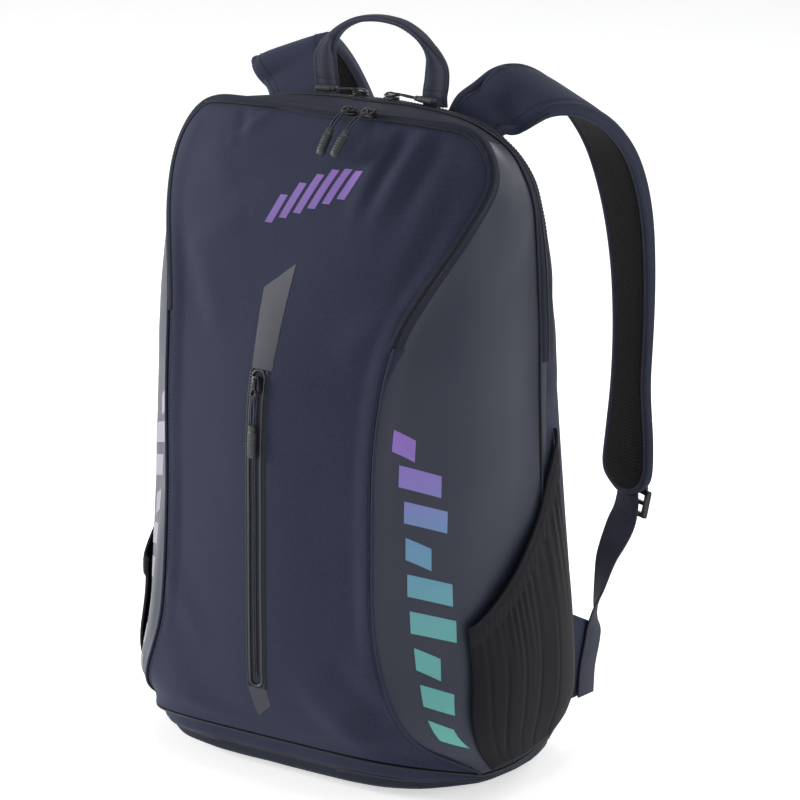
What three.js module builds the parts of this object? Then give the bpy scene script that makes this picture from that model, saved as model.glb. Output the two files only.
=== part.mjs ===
// Racket backpack. Millimetres, +Z up, front towards -Y, left and right mirror about X = 0.
// Origin: middle of the flat underside at the plane of the main zip.
import * as THREE from "three";

// ---- Driving dimensions -------------------------------------------------------------------
const CLOTH = 2.4; // wall of one outer panel
const SEAM_INSET = 2.4; // how far a panel stops short of its seam line
const GAP = 0.5; // clearance between neighbouring pieces
const MOUTH_AXIS_Z = 335; // height of the crease that the main mouth opens about
const LOWER_TOP_Z = 325; // top of the fixed lower front panel
const FLAP_BOTTOM_Z = 346; // bottom of the front flap, just above the crease that it opens about
const SIDE_SPLIT = [330, 338]; // the side panels part between these heights
const ZIP_END_Z = 322; // lowest point of the main zip
const FRONT_ZIP_END_Z = 348; // lowest point of the front zip
const POCKET_ZIP = { low: 78, high: 323, reach: 0.055 }; // heights, and half width as a share of the front
const PAD_THICK = 13; // shoulder strap padding
const PAD_THIN = 9.5; // the same near the lower end of the strap
const PIPING = 2.4; // cord along the front seam
const WEBBING = [25, 1.8]; // width and thickness of strap webbing

// ---- Body outline: rings of matching stations from the base seam to the middle of the top ----
const RINGS = {
  back: [
    [154, 46, 44], [158, 48, 62], [157, 44.5, 120], [152, 39, 205], [147.5, 33, 290], [146, 27, 357],
    [139, 22, 424], [128, 18, 460], [106, 16, 481], [66, 14, 492], [0, 13, 496],
  ],
  zip: [
    [162, 0, 25], [168, 0, 60], [167, 0, 120], [161, 0, 205], [158.5, 0, 290], [157.5, 0, 357],
    [151, 0, 424], [138, 0, 461], [112, 0, 485], [68, 0, 498], [0, 0, 501],
  ],
  sideRear: [
    [160, -24, 19.5], [164, -60, 59], [161, -57, 119], [156, -53, 205], [154, -52, 290], [152.5, -50, 357],
    [151.5, -27, 424], [142, -18, 463], [117, -17, 487], [72, -18, 500.5], [0, -19, 502.5],
  ],
  sideFront: [
    [157, -47, 17], [149, -100, 58], [143, -99, 118], [139, -97, 205], [138, -93, 290], [138, -86, 357],
    [146, -54, 424], [144, -36, 464.5], [120.5, -31.5, 491.5], [77, -35, 502], [0, -38, 502],
  ],
  seam: [
    [151, -70, 16.5], [122, -126, 57], [99, -136, 118], [93.5, -135, 205], [95, -131.5, 290], [104, -116, 357],
    [132, -79, 424], [141, -53, 464], [121.5, -46, 493.5], [80, -51.5, 500], [0, -57, 499],
  ],
};
// Middle line of the front and of the back: y, z at the same stations, up to the top corner.
const FRONT_MIDDLE = [
  [-139, 36], [-149, 72], [-151, 125], [-151, 205], [-149, 290], [-135, 353], [-110, 418], [-88, 464], [-57, 499],
];
const BACK_MIDDLE = [
  [57, 49], [59, 68], [56, 125], [49, 206], [41.5, 291], [35, 357], [28, 425], [23, 464], [13, 496],
];
const FRONT_SQUARENESS = [5, 3.2, 2.5, 2.4, 2.4, 2.5, 3, 3.2, 4]; // 2 is round, 5 is nearly a box
const BACK_SQUARENESS = 4;
const STATIONS = RINGS.zip.length - 1;
const CORNER = 8 / STATIONS; // station of the top corners, as a share of the ring
const SHOULDER = 7.8 / STATIONS; // where the side panels meet the top gusset

// ---- Curves -------------------------------------------------------------------------------
const mix = (a, b, t) => a + (b - a) * t;
const clamp = (value, low, high) => Math.min(high, Math.max(low, value));

// Smooth curve through evenly spaced stations; "mirrored" makes it level across its last one.
function through(stations, share, mirrored = false) {
  const last = stations.length - 1;
  const place = clamp(share, 0, 1) * last;
  const i = Math.min(last - 1, Math.floor(place));
  const t = place - i;
  const before = stations[i - 1] ?? stations[i].map((v, k) => 2 * v - stations[i + 1][k]);
  const beyond = mirrored ? stations[last - 1].map((v, k) => (k === 0 ? -v : v)) : null;
  const after = stations[i + 2] ?? beyond ?? stations[i + 1].map((v, k) => 2 * v - stations[i][k]);
  return stations[i].map((b, k) => {
    const [a, c, d] = [before[k], stations[i + 1][k], after[k]];
    return b + 0.5 * t * (c - a + t * (2 * a - 5 * b + 4 * c - d + t * (3 * (b - c) + d - a)));
  });
}
const ring = (name, s) => through(RINGS[name], s, true);
const vec = (p) => new THREE.Vector3(...p);

// The share of the ring at which the named ring reaches a height on its way up the side.
function shareAt(name, height) {
  let [low, high] = [0, CORNER];
  for (let k = 0; k < 30; k += 1) {
    const middle = (low + high) / 2;
    if (ring(name, middle)[2] < height) low = middle;
    else high = middle;
  }
  return low;
}

// ---- Surfaces: share s up the ring, share t or u across it ----------------------------------
function gusset(s, t) {
  const across = ["zip", "sideRear", "sideFront", "seam"].map((name) => ring(name, s));
  return vec(through(across, t));
}
function rearGusset(s, t) {
  const [a, b] = [ring("zip", s), ring("back", s)];
  const bulge = 2.5 * Math.sin(Math.PI * t);
  return vec([mix(a[0], b[0], t * t), mix(a[1], b[1], t), mix(a[2], b[2], t) + bulge * (s > CORNER ? 1 : 0)]);
}
function panel(ringName, middle, squareness, u, s) {
  const edge = ring(ringName, s);
  const [y, z] = through(middle, s / CORNER);
  const power = squareness(s / CORNER);
  const fill = 1 - Math.abs(u) ** power;
  return vec([u * edge[0], mix(edge[1], y, fill), mix(edge[2], z, fill)]);
}
const frontSquareness = (share) => through(FRONT_SQUARENESS.map((v) => [v]), share)[0];
const front = (u, s) => panel("seam", FRONT_MIDDLE, frontSquareness, u, s);
const back = (u, s) => panel("back", BACK_MIDDLE, () => BACK_SQUARENESS, u, s);
const gussetLength = (s) => gusset(s, 0).distanceTo(gusset(s, 1)) * 1.08;
const seamShare = (s, inset) => 1 - inset / gussetLength(s);

const mirror = (p, side) => (side < 0 ? new THREE.Vector3(-p.x, p.y, p.z) : p);
const BODY_CORE = new THREE.Vector3(0, -50, 260);

// ---- Solids -------------------------------------------------------------------------------
function solid(points, faces) {
  const geometry = new THREE.BufferGeometry();
  geometry.setAttribute("position", new THREE.Float32BufferAttribute(points.flatMap((p) => [p.x, p.y, p.z]), 3));
  let volume = 0;
  for (const [a, b, c] of faces) {
    volume += points[a].dot(new THREE.Vector3().crossVectors(points[b], points[c]));
  }
  geometry.setIndex(faces.flatMap(([a, b, c]) => (volume < 0 ? [a, c, b] : [a, b, c])));
  geometry.computeVertexNormals();
  return geometry;
}

// A cloth of the given thickness over surface(a, b); "lift" is its outer face above the surface.
function sheet(surface, across, along, thickness, lift = 0, core = BODY_CORE) {
  const step = 0.002;
  const [outer, inner] = [[], []];
  for (let j = 0; j <= along; j += 1) {
    for (let i = 0; i <= across; i += 1) {
      const [a, b] = [i / across, j / along];
      const p = surface(a, b);
      const da = surface(Math.min(1, a + step), b).sub(surface(Math.max(0, a - step), b));
      const db = surface(a, Math.min(1, b + step)).sub(surface(a, Math.max(0, b - step)));
      const normal = da.cross(db).normalize();
      const outward = p.clone().sub(new THREE.Vector3(core.x, core.y, mix(core.z, p.z, 0.8)));
      if (normal.dot(outward) < 0) normal.negate();
      outer.push(p.clone().addScaledVector(normal, lift));
      inner.push(p.clone().addScaledVector(normal, lift - thickness));
    }
  }
  const row = across + 1;
  const count = outer.length;
  const faces = [];
  const quad = (a, b, c, d) => faces.push([a, b, c], [a, c, d]);
  for (let j = 0; j < along; j += 1) {
    for (let i = 0; i < across; i += 1) {
      const k = j * row + i;
      quad(k, k + 1, k + row + 1, k + row);
      quad(count + k, count + k + row, count + k + row + 1, count + k + 1);
    }
  }
  const edge = (a, b) => quad(a, count + a, count + b, b);
  for (let i = 0; i < across; i += 1) {
    edge(i, i + 1);
    edge(along * row + i + 1, along * row + i);
  }
  for (let j = 0; j < along; j += 1) {
    edge((j + 1) * row, j * row);
    edge(j * row + across, (j + 1) * row + across);
  }
  return solid([...outer, ...inner], faces);
}

// A closed band along a path. Each station is { at, wide, width, thick }: "wide" is its width direction.
function band(stations, sides = 8) {
  const points = [];
  const faces = [];
  stations.forEach(({ at, wide, width, thick }, j) => {
    const ahead = vec(stations[Math.min(j + 1, stations.length - 1)].at);
    const run = ahead.sub(vec(stations[Math.max(j - 1, 0)].at)).normalize();
    const across = vec(wide);
    across.addScaledVector(run, -across.dot(run)).normalize();
    const up = new THREE.Vector3().crossVectors(run, across);
    for (let i = 0; i < sides; i += 1) {
      const turn = ((i + 0.5) / sides) * 2 * Math.PI;
      const [c, s] = [Math.cos(turn), Math.sin(turn)];
      const square = Math.max(Math.abs(c), Math.abs(s));
      const p = vec(at).addScaledVector(across, (0.5 * width * c) / square);
      points.push(p.addScaledVector(up, (0.5 * thick * s) / square));
    }
  });
  for (let j = 0; j < stations.length - 1; j += 1) {
    for (let i = 0; i < sides; i += 1) {
      const [a, b] = [j * sides + i, j * sides + ((i + 1) % sides)];
      faces.push([a, b, b + sides], [a, b + sides, a + sides]);
    }
  }
  const end = (stations.length - 1) * sides;
  for (let i = 1; i < sides - 1; i += 1) {
    faces.push([0, i + 1, i], [end, end + i, end + i + 1]);
  }
  return solid(points, faces);
}

// ---- Colours ------------------------------------------------------------------------------
const COLOURS = {
  twill: [0x31384f, 0.8],
  coated: [0x464d5b, 0.45],
  black: [0x17181c, 0.75],
  lining: [0x2a2c33, 0.9],
  foam: [0x202126, 0.95],
  plastic: [0x141517, 0.4],
  rubber: [0x2f3433, 0.6],
};
const model = new THREE.Group();
function add(name, geometry, colour) {
  const [color, roughness] = COLOURS[colour];
  const mesh = new THREE.Mesh(geometry, new THREE.MeshStandardMaterial({ color, roughness, metalness: 0 }));
  mesh.name = name;
  model.add(mesh);
}
const SIDES = [["left", -1], ["right", 1]];

// ---- Front panel, flap, side panels and gussets ---------------------------------------------
const seamInset = (s) => 1 - SEAM_INSET / ring("seam", s)[0];

function frontPieces() {
  const lowTop = shareAt("seam", LOWER_TOP_Z);
  const flapLow = shareAt("seam", FLAP_BOTTOM_Z);
  const part = (low, high) => (a, b) => {
    const s = mix(low, high, b);
    return front(mix(-1, 1, a) * seamInset(s), s);
  };
  add("front_panel_lower", sheet(part(0.003, lowTop), 12, 14, CLOTH), "twill");
  add("front_flap", sheet(part(flapLow, CORNER - 0.006), 12, 9, CLOTH), "twill");
}

function sidePieces() {
  const split = SIDE_SPLIT.map((z) => shareAt("zip", z));
  for (const [word, side] of SIDES) {
    const part = (low, high) => (a, b) => {
      const s = mix(low, high, b);
      return mirror(gusset(s, mix(GAP / gussetLength(s), seamShare(s, SEAM_INSET), a)), side);
    };
    add(`side_panel_lower_${word}`, sheet(part(0.002, split[0]), 7, 13, CLOTH), "coated");
    add(`side_panel_upper_${word}`, sheet(part(split[1], SHOULDER - 0.001), 6, 6, CLOTH), "coated");
    const rear = (a, b) => {
      const s = mix(0.002, SHOULDER - 0.001, b);
      return mirror(rearGusset(s, mix(0.02, 0.93, a)), side);
    };
    add(`rear_gusset_${word}`, sheet(rear, 2, 16, CLOTH), "twill");
  }
  const overTop = (surface) => (a, b) => {
    const way = mix(-1, 1, b);
    return mirror(surface(mix(1, SHOULDER, Math.abs(way)), a), way);
  };
  const top = overTop((s, a) => gusset(s, mix(GAP / gussetLength(s), seamShare(s, SEAM_INSET), a)));
  add("top_gusset", sheet(top, 4, 16, CLOTH), "black");
  add("rear_gusset_top", sheet(overTop((s, a) => rearGusset(s, mix(0.06, 0.8, a))), 2, 16, CLOTH), "twill");
}

// ---- Back panel with its padding and stiffener ----------------------------------------------
function backPieces() {
  const part = (reach, low, high) => (a, b) => {
    const s = mix(low, high, b);
    return back(mix(-reach, reach, a), s);
  };
  add("back_panel", sheet(part(0.975, 0.004, CORNER - 0.004), 10, 14, 3), "twill");
  add("back_stiffener", sheet(part(0.84, 0.06, 0.7), 6, 10, 2.5, -4), "plastic");
  for (const [word, side] of SIDES) {
    const pad = (a, b) => back(side * mix(0.14, 0.86, a), mix(0.2, 0.66, b));
    add(`back_pad_${word}`, sheet(pad, 4, 8, 8, 8 + GAP), "foam");
  }
  add("lumbar_pad", sheet((a, b) => back(mix(-0.86, 0.86, a), mix(0.03, 0.185, b)), 8, 4, 10, 10.4 + GAP), "foam");
  add("strap_yoke", sheet((a, b) => back(mix(-0.8, 0.8, a), mix(0.675, 0.735, b)), 8, 3, 3, 3 + GAP), "twill");
}

// ---- Base: a shallow tray under the panels ---------------------------------------------------
const BASE = { sideScale: 0.815, frontScale: 0.66, rearScale: 0.62, floor: 3, wall: 0.975 };

function basePiece() {
  const edge = [];
  const spread = (count, fn) => {
    for (let i = 0; i < count; i += 1) edge.push(fn(i / count));
  };
  spread(12, (a) => front(mix(-1, 1, a), 0));
  spread(5, (a) => gusset(0, 1 - a));
  spread(2, (a) => rearGusset(0, a));
  spread(8, (a) => back(mix(1, -1, a), 0));
  spread(2, (a) => mirror(rearGusset(0, 1 - a), -1));
  spread(5, (a) => mirror(gusset(0, a), -1));
  const points = [];
  const faces = [];
  const place = (p, height, share) => {
    const round = Math.sqrt(1 - (1 - share) ** 2);
    const scaleY = p.y < 0 ? BASE.frontScale : BASE.rearScale;
    return new THREE.Vector3(p.x * mix(BASE.sideScale, 1, round), p.y * mix(scaleY, 1, round), height);
  };
  const shares = [0, 0.12, 0.4, 1];
  const outer = shares.map((share) => edge.map((p) => place(p, Math.max(0, p.z - 1) * share, share)));
  const inner = [...shares].reverse().map((share) =>
    edge.map((p) => {
      const q = place(p, mix(BASE.floor, p.z - 1, share), share);
      return new THREE.Vector3(q.x * BASE.wall, q.y * BASE.wall, q.z);
    }),
  );
  const rings = [...outer, ...inner];
  rings.forEach((list) => points.push(...list));
  const n = edge.length;
  for (let j = 0; j < rings.length - 1; j += 1) {
    for (let i = 0; i < n; i += 1) {
      const [a, b] = [j * n + i, j * n + ((i + 1) % n)];
      faces.push([a, b, b + n], [a, b + n, a + n]);
    }
  }
  const last = (rings.length - 1) * n;
  points.push(new THREE.Vector3(0, -37, 0), new THREE.Vector3(0, -37, BASE.floor));
  for (let i = 0; i < n; i += 1) {
    const next = (i + 1) % n;
    faces.push([points.length - 2, next, i], [points.length - 1, last + i, last + next]);
  }
  add("base_tray", solid(points, faces), "black");
}

// ---- Inside: padded divider and laptop sleeve -------------------------------------------------
function innerPieces() {
  const dividerY = (z) => -74 + 34 * clamp((z - 300) / 190, 0, 1) ** 1.5;
  const halfWidth = (z) => {
    const s = shareAt("zip", Math.min(z, 484));
    return gusset(s, 0.45).x - 12;
  };
  const core = new THREE.Vector3(0, 200, 260);
  const wall = (low, high) => (a, b) => {
    const z = mix(low, high, b);
    return new THREE.Vector3(mix(-1, 1, a) * halfWidth(z), dividerY(z), z);
  };
  add("divider_lower", sheet(wall(30, 322), 6, 9, 5, 0, core), "lining");
  add("divider_upper", sheet(wall(340, 478), 6, 6, 5, 0, core), "lining");
  const sleeve = (a, b) => {
    const s = mix(0.08, 0.53, b);
    const p = back(mix(-0.8, 0.8, a), s);
    return p.setY(p.y - 30);
  };
  add("laptop_sleeve", sheet(sleeve, 6, 8, 5), "lining");
}

// ---- Side pockets: stretch mesh with an elastic hem --------------------------------------------
const POCKET = {
  hem: [[262], [238], [204], [183], [166], [153], [143], [135]], // height of the hem, from the rear edge forwards
  front: [[0.85], [0.6], [0.555], [0.59]], // front edge on the side panel, from the base to the hem
  rear: [[0.85], [0.87], [0.78], [0.33]], // rear edge on the rear gusset, from the base to the hem
  rearWidth: 0.3, // width of the rear gusset as a share of the side panel's
  lift: 4,
  thick: 2,
};
// The side and the rear gusset as one surface: t is negative behind the main zip line.
function aroundSide(s, t) {
  return t < 0 ? rearGusset(s, -t / POCKET.rearWidth) : gusset(s, t);
}
function pocketPieces() {
  for (const [word, side] of SIDES) {
    const place = (a, b) => {
      const reach = clamp(b, 0, 1);
      const t = mix(-POCKET.rearWidth * through(POCKET.rear, reach)[0], through(POCKET.front, reach)[0], a);
      const top = shareAt("zip", through(POCKET.hem, a)[0]);
      return mirror(aroundSide(mix(0.004, top, b), t), side);
    };
    const mesh = (a, b) => place(a, b * 0.965);
    add(`side_pocket_${word}`, sheet(mesh, 9, 7, POCKET.thick, POCKET.lift), "black");
    const hem = (a, b) => place(a, mix(0.975, 1.02, b));
    add(`pocket_hem_${word}`, sheet(hem, 12, 1, POCKET.thick + 0.8, POCKET.lift + 0.8), "black");
  }
}

// ---- Piping and zips ---------------------------------------------------------------------------
function trimPieces() {
  const zipLow = shareAt("zip", MOUTH_AXIS_Z + 5);
  const rearLow = shareAt("zip", ZIP_END_Z);
  const flapLow = shareAt("seam", FRONT_ZIP_END_Z);
  const steps = 12;
  const proud = PIPING * 0.7;
  for (const [word, side] of SIDES) {
    const stations = [];
    for (let k = 0; k <= steps; k += 1) {
      const [x, y, z] = ring("seam", mix(0.006, shareAt("seam", LOWER_TOP_Z), k / steps));
      const at = [(x + proud) * side, y - proud, z];
      stations.push({ at, wide: [side, -1, 0], width: PIPING, thick: PIPING });
    }
    add(`front_piping_${word}`, band(stations, 6), "black");
  }
  const arch = (low, surface) => (a, b) => {
    const way = mix(-1, 1, b);
    return mirror(surface(mix(1, low, Math.abs(way)), a), way);
  };
  const rear = arch(rearLow, (s, a) => rearGusset(s, mix(0.03, 0.2, a)));
  add("main_zip_rear", sheet(rear, 1, 30, 1.6, 1.6 + GAP), "black");
  const fore = arch(zipLow, (s, a) => gusset(s, mix(1, 7, a) / gussetLength(s)));
  add("main_zip_front", sheet(fore, 1, 30, 1.6, 1.6 + GAP), "black");
  const body = arch(flapLow, (s, a) => gusset(s, seamShare(s, mix(3.4, 9, a))));
  add("front_zip_body", sheet(body, 1, 36, 1.4, 1.4 + 2 * GAP), "black");
  // Over the flap the tape runs up one side, along the top edge and down the other side.
  const topShare = 0.3; // the part of the tape that lies along the top edge
  const topEdge = CORNER - 0.008;
  const topWidth = 0.012;
  const flap = (a, b) => {
    const way = mix(-1, 1, b);
    const reach = Math.abs(way);
    const inset = mix(0.6, 6, a);
    if (reach > topShare) {
      const s = mix(topEdge, flapLow, (reach - topShare) / (1 - topShare));
      return front(Math.sign(way) * (seamInset(s) - inset / ring("seam", s)[0]), s);
    }
    const u = (reach / topShare) * (seamInset(CORNER) - inset / ring("seam", CORNER)[0]);
    return front(Math.sign(way) * u, topEdge - mix(0, topWidth, a) * (1 - reach / topShare) ** 0.5);
  };
  add("front_zip_flap", sheet(flap, 1, 40, 1.6, 1.6 + GAP), "black");
  const { low, high, reach } = POCKET_ZIP;
  const pocketZip = (a, b) => front(mix(-reach, reach, a), shareAt("seam", mix(low, high, b)));
  add("pocket_zip", sheet(pocketZip, 2, 14, 1.4, 1.4 + GAP), "black");
}

// ---- Zip sliders and pulls -----------------------------------------------------------------------
const SLIDER = { length: 12, width: 8.5, tall: 4.5, low: 2.9 }; // "low" is the height of the flat pocket slider
const MAIN_SLIDER = { x: { left: -9, right: 18 }, y: -0.5, z: 504.2 };
const FRONT_SLIDER = { x: { left: 19, right: 36 }, lean: { left: -2, right: -7 }, y: -56.5, z: 502 };
const POCKET_SLIDER = [0, -152, 313];
// Sections of a pull: share along its path, width, thickness. Ring, cord, then grip.
const PULL = [
  [0, 5, 2], [0.12, 5.5, 2.2], [0.2, 2, 2], [0.42, 2, 2],
  [0.48, 4.6, 3.4], [0.6, 5.6, 4], [0.94, 5.6, 4], [1, 4, 3],
];

// A slider lies with its length along "run" and its top face along "up".
function sliderGeometry(at, run, up, height = SLIDER.tall) {
  const { length, width } = SLIDER;
  const outline = new THREE.Shape();
  outline.moveTo(-length / 2, -width / 4);
  outline.lineTo(-length / 6, -width / 2);
  outline.lineTo(length / 2, -width / 2.6);
  outline.lineTo(length / 2, width / 2.6);
  outline.lineTo(-length / 6, width / 2);
  outline.lineTo(-length / 2, width / 4);
  outline.closePath();
  const geometry = new THREE.ExtrudeGeometry(outline, { depth: height, bevelEnabled: false });
  const x = vec(run).normalize();
  const z = vec(up);
  z.addScaledVector(x, -z.dot(x)).normalize();
  const basis = new THREE.Matrix4().makeBasis(x, new THREE.Vector3().crossVectors(z, x), z);
  return geometry.applyMatrix4(basis.setPosition(vec(at)));
}
// A pull: "path" runs from its ring to the end of its grip.
function pullGeometry(path, wide) {
  const curve = new THREE.CatmullRomCurve3(path.map(vec));
  return band(PULL.map(([share, width, thick]) => {
    const p = curve.getPointAt(share);
    return { at: [p.x, p.y, p.z], wide, width, thick };
  }));
}
function sliderPieces() {
  for (const [word, side] of SIDES) {
    const { x: places, y, z } = MAIN_SLIDER;
    const x = places[word];
    add(`main_slider_${word}`, sliderGeometry([x, y, z], [-side, 0, 0], [0, 0, 1]), "plastic");
    const flat = [
      [x + side * 7.5, y, z + 3.4], [x + side * 22, y - 0.5, z + 2.6], [x + side * 41, y - 1.5, z + 1.8],
    ];
    add(`main_pull_${word}`, pullGeometry(flat, [0, 1, 0]), "rubber");

    const [fx, fy, fz] = [FRONT_SLIDER.x[word], FRONT_SLIDER.y, FRONT_SLIDER.z];
    const lean = FRONT_SLIDER.lean[word]; // how far the end of the grip hangs to one side
    add(`front_slider_${word}`, sliderGeometry([fx, fy, fz], [-side, 0, 0], [0, -0.25, 1]), "plastic");
    const hang = [
      [fx, fy - 7, fz + 1.5], [fx + 0.3 * lean, fy - 19.5, fz - 6],
      [fx + 0.8 * lean, fy - 30.5, fz - 20], [fx + lean, fy - 35.5, fz - 28],
    ];
    add(`front_pull_${word}`, pullGeometry(hang, [1, 0, 0]), "rubber");
  }
  const [x, y, z] = POCKET_SLIDER;
  add("pocket_slider", sliderGeometry(POCKET_SLIDER, [0, 0, 1], [0, -1, 0], SLIDER.low), "plastic");
  const hang = [[x, y - 3, z - 8.5], [x, y - 4.4, z - 27], [x, y - 5, z - 51], [x, y - 5, z - 63]];
  add("pocket_pull", pullGeometry(hang, [1, 0, 0]), "rubber");
}

// ---- Carry handle ---------------------------------------------------------------------------------
function handlePiece() {
  const half = [
    [49, 12, 504.5, 25, 3], [50, 12, 517, 25, 3], [50, 12, 529, 22, 3.6], [46, 12, 540, 12, 8],
    [37, 12, 550.5, 6.5, 12], [23, 12, 558.5, 6, 12.5], [8, 12, 561.4, 6, 12.5],
  ];
  const stations = [
    ...half.map(([x, ...rest]) => [-x, ...rest]),
    ...half.reverse(),
  ].map(([x, y, z, width, thick]) => ({ at: [x, y, z], wide: [0, 0, 0], width, thick }));
  stations.forEach((station, j) => {
    const ahead = vec(stations[Math.min(j + 1, stations.length - 1)].at);
    const run = ahead.sub(vec(stations[Math.max(j - 1, 0)].at));
    station.wide = [run.z, 0, -run.x];
  });
  add("carry_handle", band(stations), "black");
}

// ---- Shoulder straps ---------------------------------------------------------------------------------
const STRAP = {
  lean: { left: [6, 3], right: [-2, -9] }, // how far each crest lies outwards and upwards of the centre line
  // centre line of the padding: x, y, z, width, then the width direction
  pad: [
    [90, 38, 508, 58, [0.85, -0.2, -0.48]], [104, 48, 518, 65, [0.88, -0.3, -0.37]],
    [113, 66, 517, 67, [0.89, -0.32, -0.33]], [119, 88, 507, 67, [0.9, -0.35, -0.26]],
    [124, 115, 487, 65, [0.91, -0.38, -0.18]], [127, 143, 455, 62, [0.92, -0.4, -0.1]],
    [128, 164, 410, 57, [0.92, -0.4, -0.04]], [128, 176, 360, 50, [0.92, -0.4, 0]],
    [127, 181, 310, 46, [0.92, -0.4, 0]], [126, 181, 262, 45, [0.92, -0.4, 0]],
    [127, 179, 218, 56, [0.92, -0.4, 0]], [127, 176, 188, 59, [0.92, -0.4, 0]],
    [127, 174, 174, 44, [0.92, -0.4, 0]],
  ],
  lockAt: [134, 181, 166],
  webbing: [
    [129.5, 159, 146, [0.92, -0.4, 0]], [136, 132, 128, [0.88, -0.47, 0.1]], [142, 110, 105, [0.7, -0.65, 0.2]],
    [147.5, 99, 92, [0.3, -0.75, 0.6]],
  ],
  wing: [[54, 112], [95, 90], [94, 34], [54, 36]], // y, z corners of the fabric anchor at the base
  anchor: { x: 144, thick: 2.5 }, // inner face and thickness of that anchor
};
function ladderLock(at, wide, up) {
  const [width, height, thick, slot] = [34, 20, 4, 3];
  const outline = new THREE.Shape();
  outline.moveTo(-width / 2, -height / 2);
  outline.lineTo(width / 2, -height / 2);
  outline.lineTo(width / 2, height / 2);
  outline.lineTo(-width / 2, height / 2);
  outline.closePath();
  for (const level of [-height / 5, height / 5]) {
    const hole = new THREE.Path();
    hole.moveTo(-width / 2 + 4, level - slot / 2);
    hole.lineTo(-width / 2 + 4, level + slot / 2);
    hole.lineTo(width / 2 - 4, level + slot / 2);
    hole.lineTo(width / 2 - 4, level - slot / 2);
    hole.closePath();
    outline.holes.push(hole);
  }
  const geometry = new THREE.ExtrudeGeometry(outline, { depth: thick, bevelEnabled: false });
  const x = vec(wide).normalize();
  const y = vec(up);
  y.addScaledVector(x, -y.dot(x)).normalize();
  const basis = new THREE.Matrix4().makeBasis(x, y, new THREE.Vector3().crossVectors(x, y));
  return geometry.applyMatrix4(basis.setPosition(vec(at)));
}
function strapPieces() {
  for (const [word, side] of SIDES) {
    const turned = ([x, y, z]) => [x * side, y, z];
    const [out, up] = STRAP.lean[word];
    const padding = STRAP.pad.map(([x, y, z, width, wide], k) => {
      const near = clamp(1 - k / 6, 0, 1);
      const thick = mix(PAD_THIN, PAD_THICK, clamp((z - 200) / 200, 0, 1));
      return { at: turned([x + out * near, y, z + up * near]), wide: turned(wide), width, thick };
    });
    add(`strap_pad_${word}`, band(padding), "twill");
    const [webWidth, webThick] = WEBBING;
    const webbing = STRAP.webbing.map(([x, y, z, wide]) => {
      return { at: turned([x, y, z]), wide: turned(wide), width: webWidth, thick: webThick };
    });
    add(`strap_webbing_${word}`, band(webbing), "twill");
    add(`ladder_lock_${word}`, ladderLock(turned(STRAP.lockAt), [0.92, -0.4 * side, 0], [0, 0.25, 1]), "plastic");
    const outline = new THREE.Shape();
    STRAP.wing.forEach(([y, z], k) => (k ? outline.lineTo(y, z) : outline.moveTo(y, z)));
    outline.closePath();
    const { x, thick } = STRAP.anchor;
    const wing = new THREE.ExtrudeGeometry(outline, { depth: thick, bevelEnabled: false });
    const basis = new THREE.Matrix4().makeBasis(vec([0, 1, 0]), vec([0, 0, 1]), vec([1, 0, 0]));
    wing.applyMatrix4(basis.setPosition(vec([side > 0 ? x : -x - thick, 0, 0])));
    add(`strap_anchor_${word}`, wing, "twill");
  }
}

frontPieces();
sidePieces();
backPieces();
basePiece();
innerPieces();
pocketPieces();
trimPieces();
sliderPieces();
handlePiece();
strapPieces();

export default model;
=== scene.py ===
"""Racket backpack: the looks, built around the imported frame. Metres, +Z up, front towards -Y."""

import math

import bmesh
import bpy
import numpy as np
from mathutils import Matrix, Vector
from mathutils.bvhtree import BVHTree


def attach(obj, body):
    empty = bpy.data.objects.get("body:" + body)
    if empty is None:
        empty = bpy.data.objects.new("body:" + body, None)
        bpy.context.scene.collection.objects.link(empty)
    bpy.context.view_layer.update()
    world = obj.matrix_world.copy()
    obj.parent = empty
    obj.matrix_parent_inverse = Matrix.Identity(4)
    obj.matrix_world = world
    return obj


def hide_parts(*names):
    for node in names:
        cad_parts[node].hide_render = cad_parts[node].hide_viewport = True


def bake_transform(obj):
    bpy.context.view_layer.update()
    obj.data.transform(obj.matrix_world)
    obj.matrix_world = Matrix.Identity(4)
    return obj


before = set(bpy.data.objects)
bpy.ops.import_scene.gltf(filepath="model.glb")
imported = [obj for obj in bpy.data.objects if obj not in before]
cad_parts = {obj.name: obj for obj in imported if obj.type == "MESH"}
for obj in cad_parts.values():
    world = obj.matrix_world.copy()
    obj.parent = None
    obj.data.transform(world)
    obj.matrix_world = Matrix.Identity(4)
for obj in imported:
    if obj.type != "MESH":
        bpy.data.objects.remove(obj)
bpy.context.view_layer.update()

MM = 0.001
SIDES = (("left", -1), ("right", 1))
RIGHT, BACK, UP = np.eye(3)
CORE = np.array([0, -0.05, 0.26])        # a point inside the bag, which cloths face away from

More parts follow.
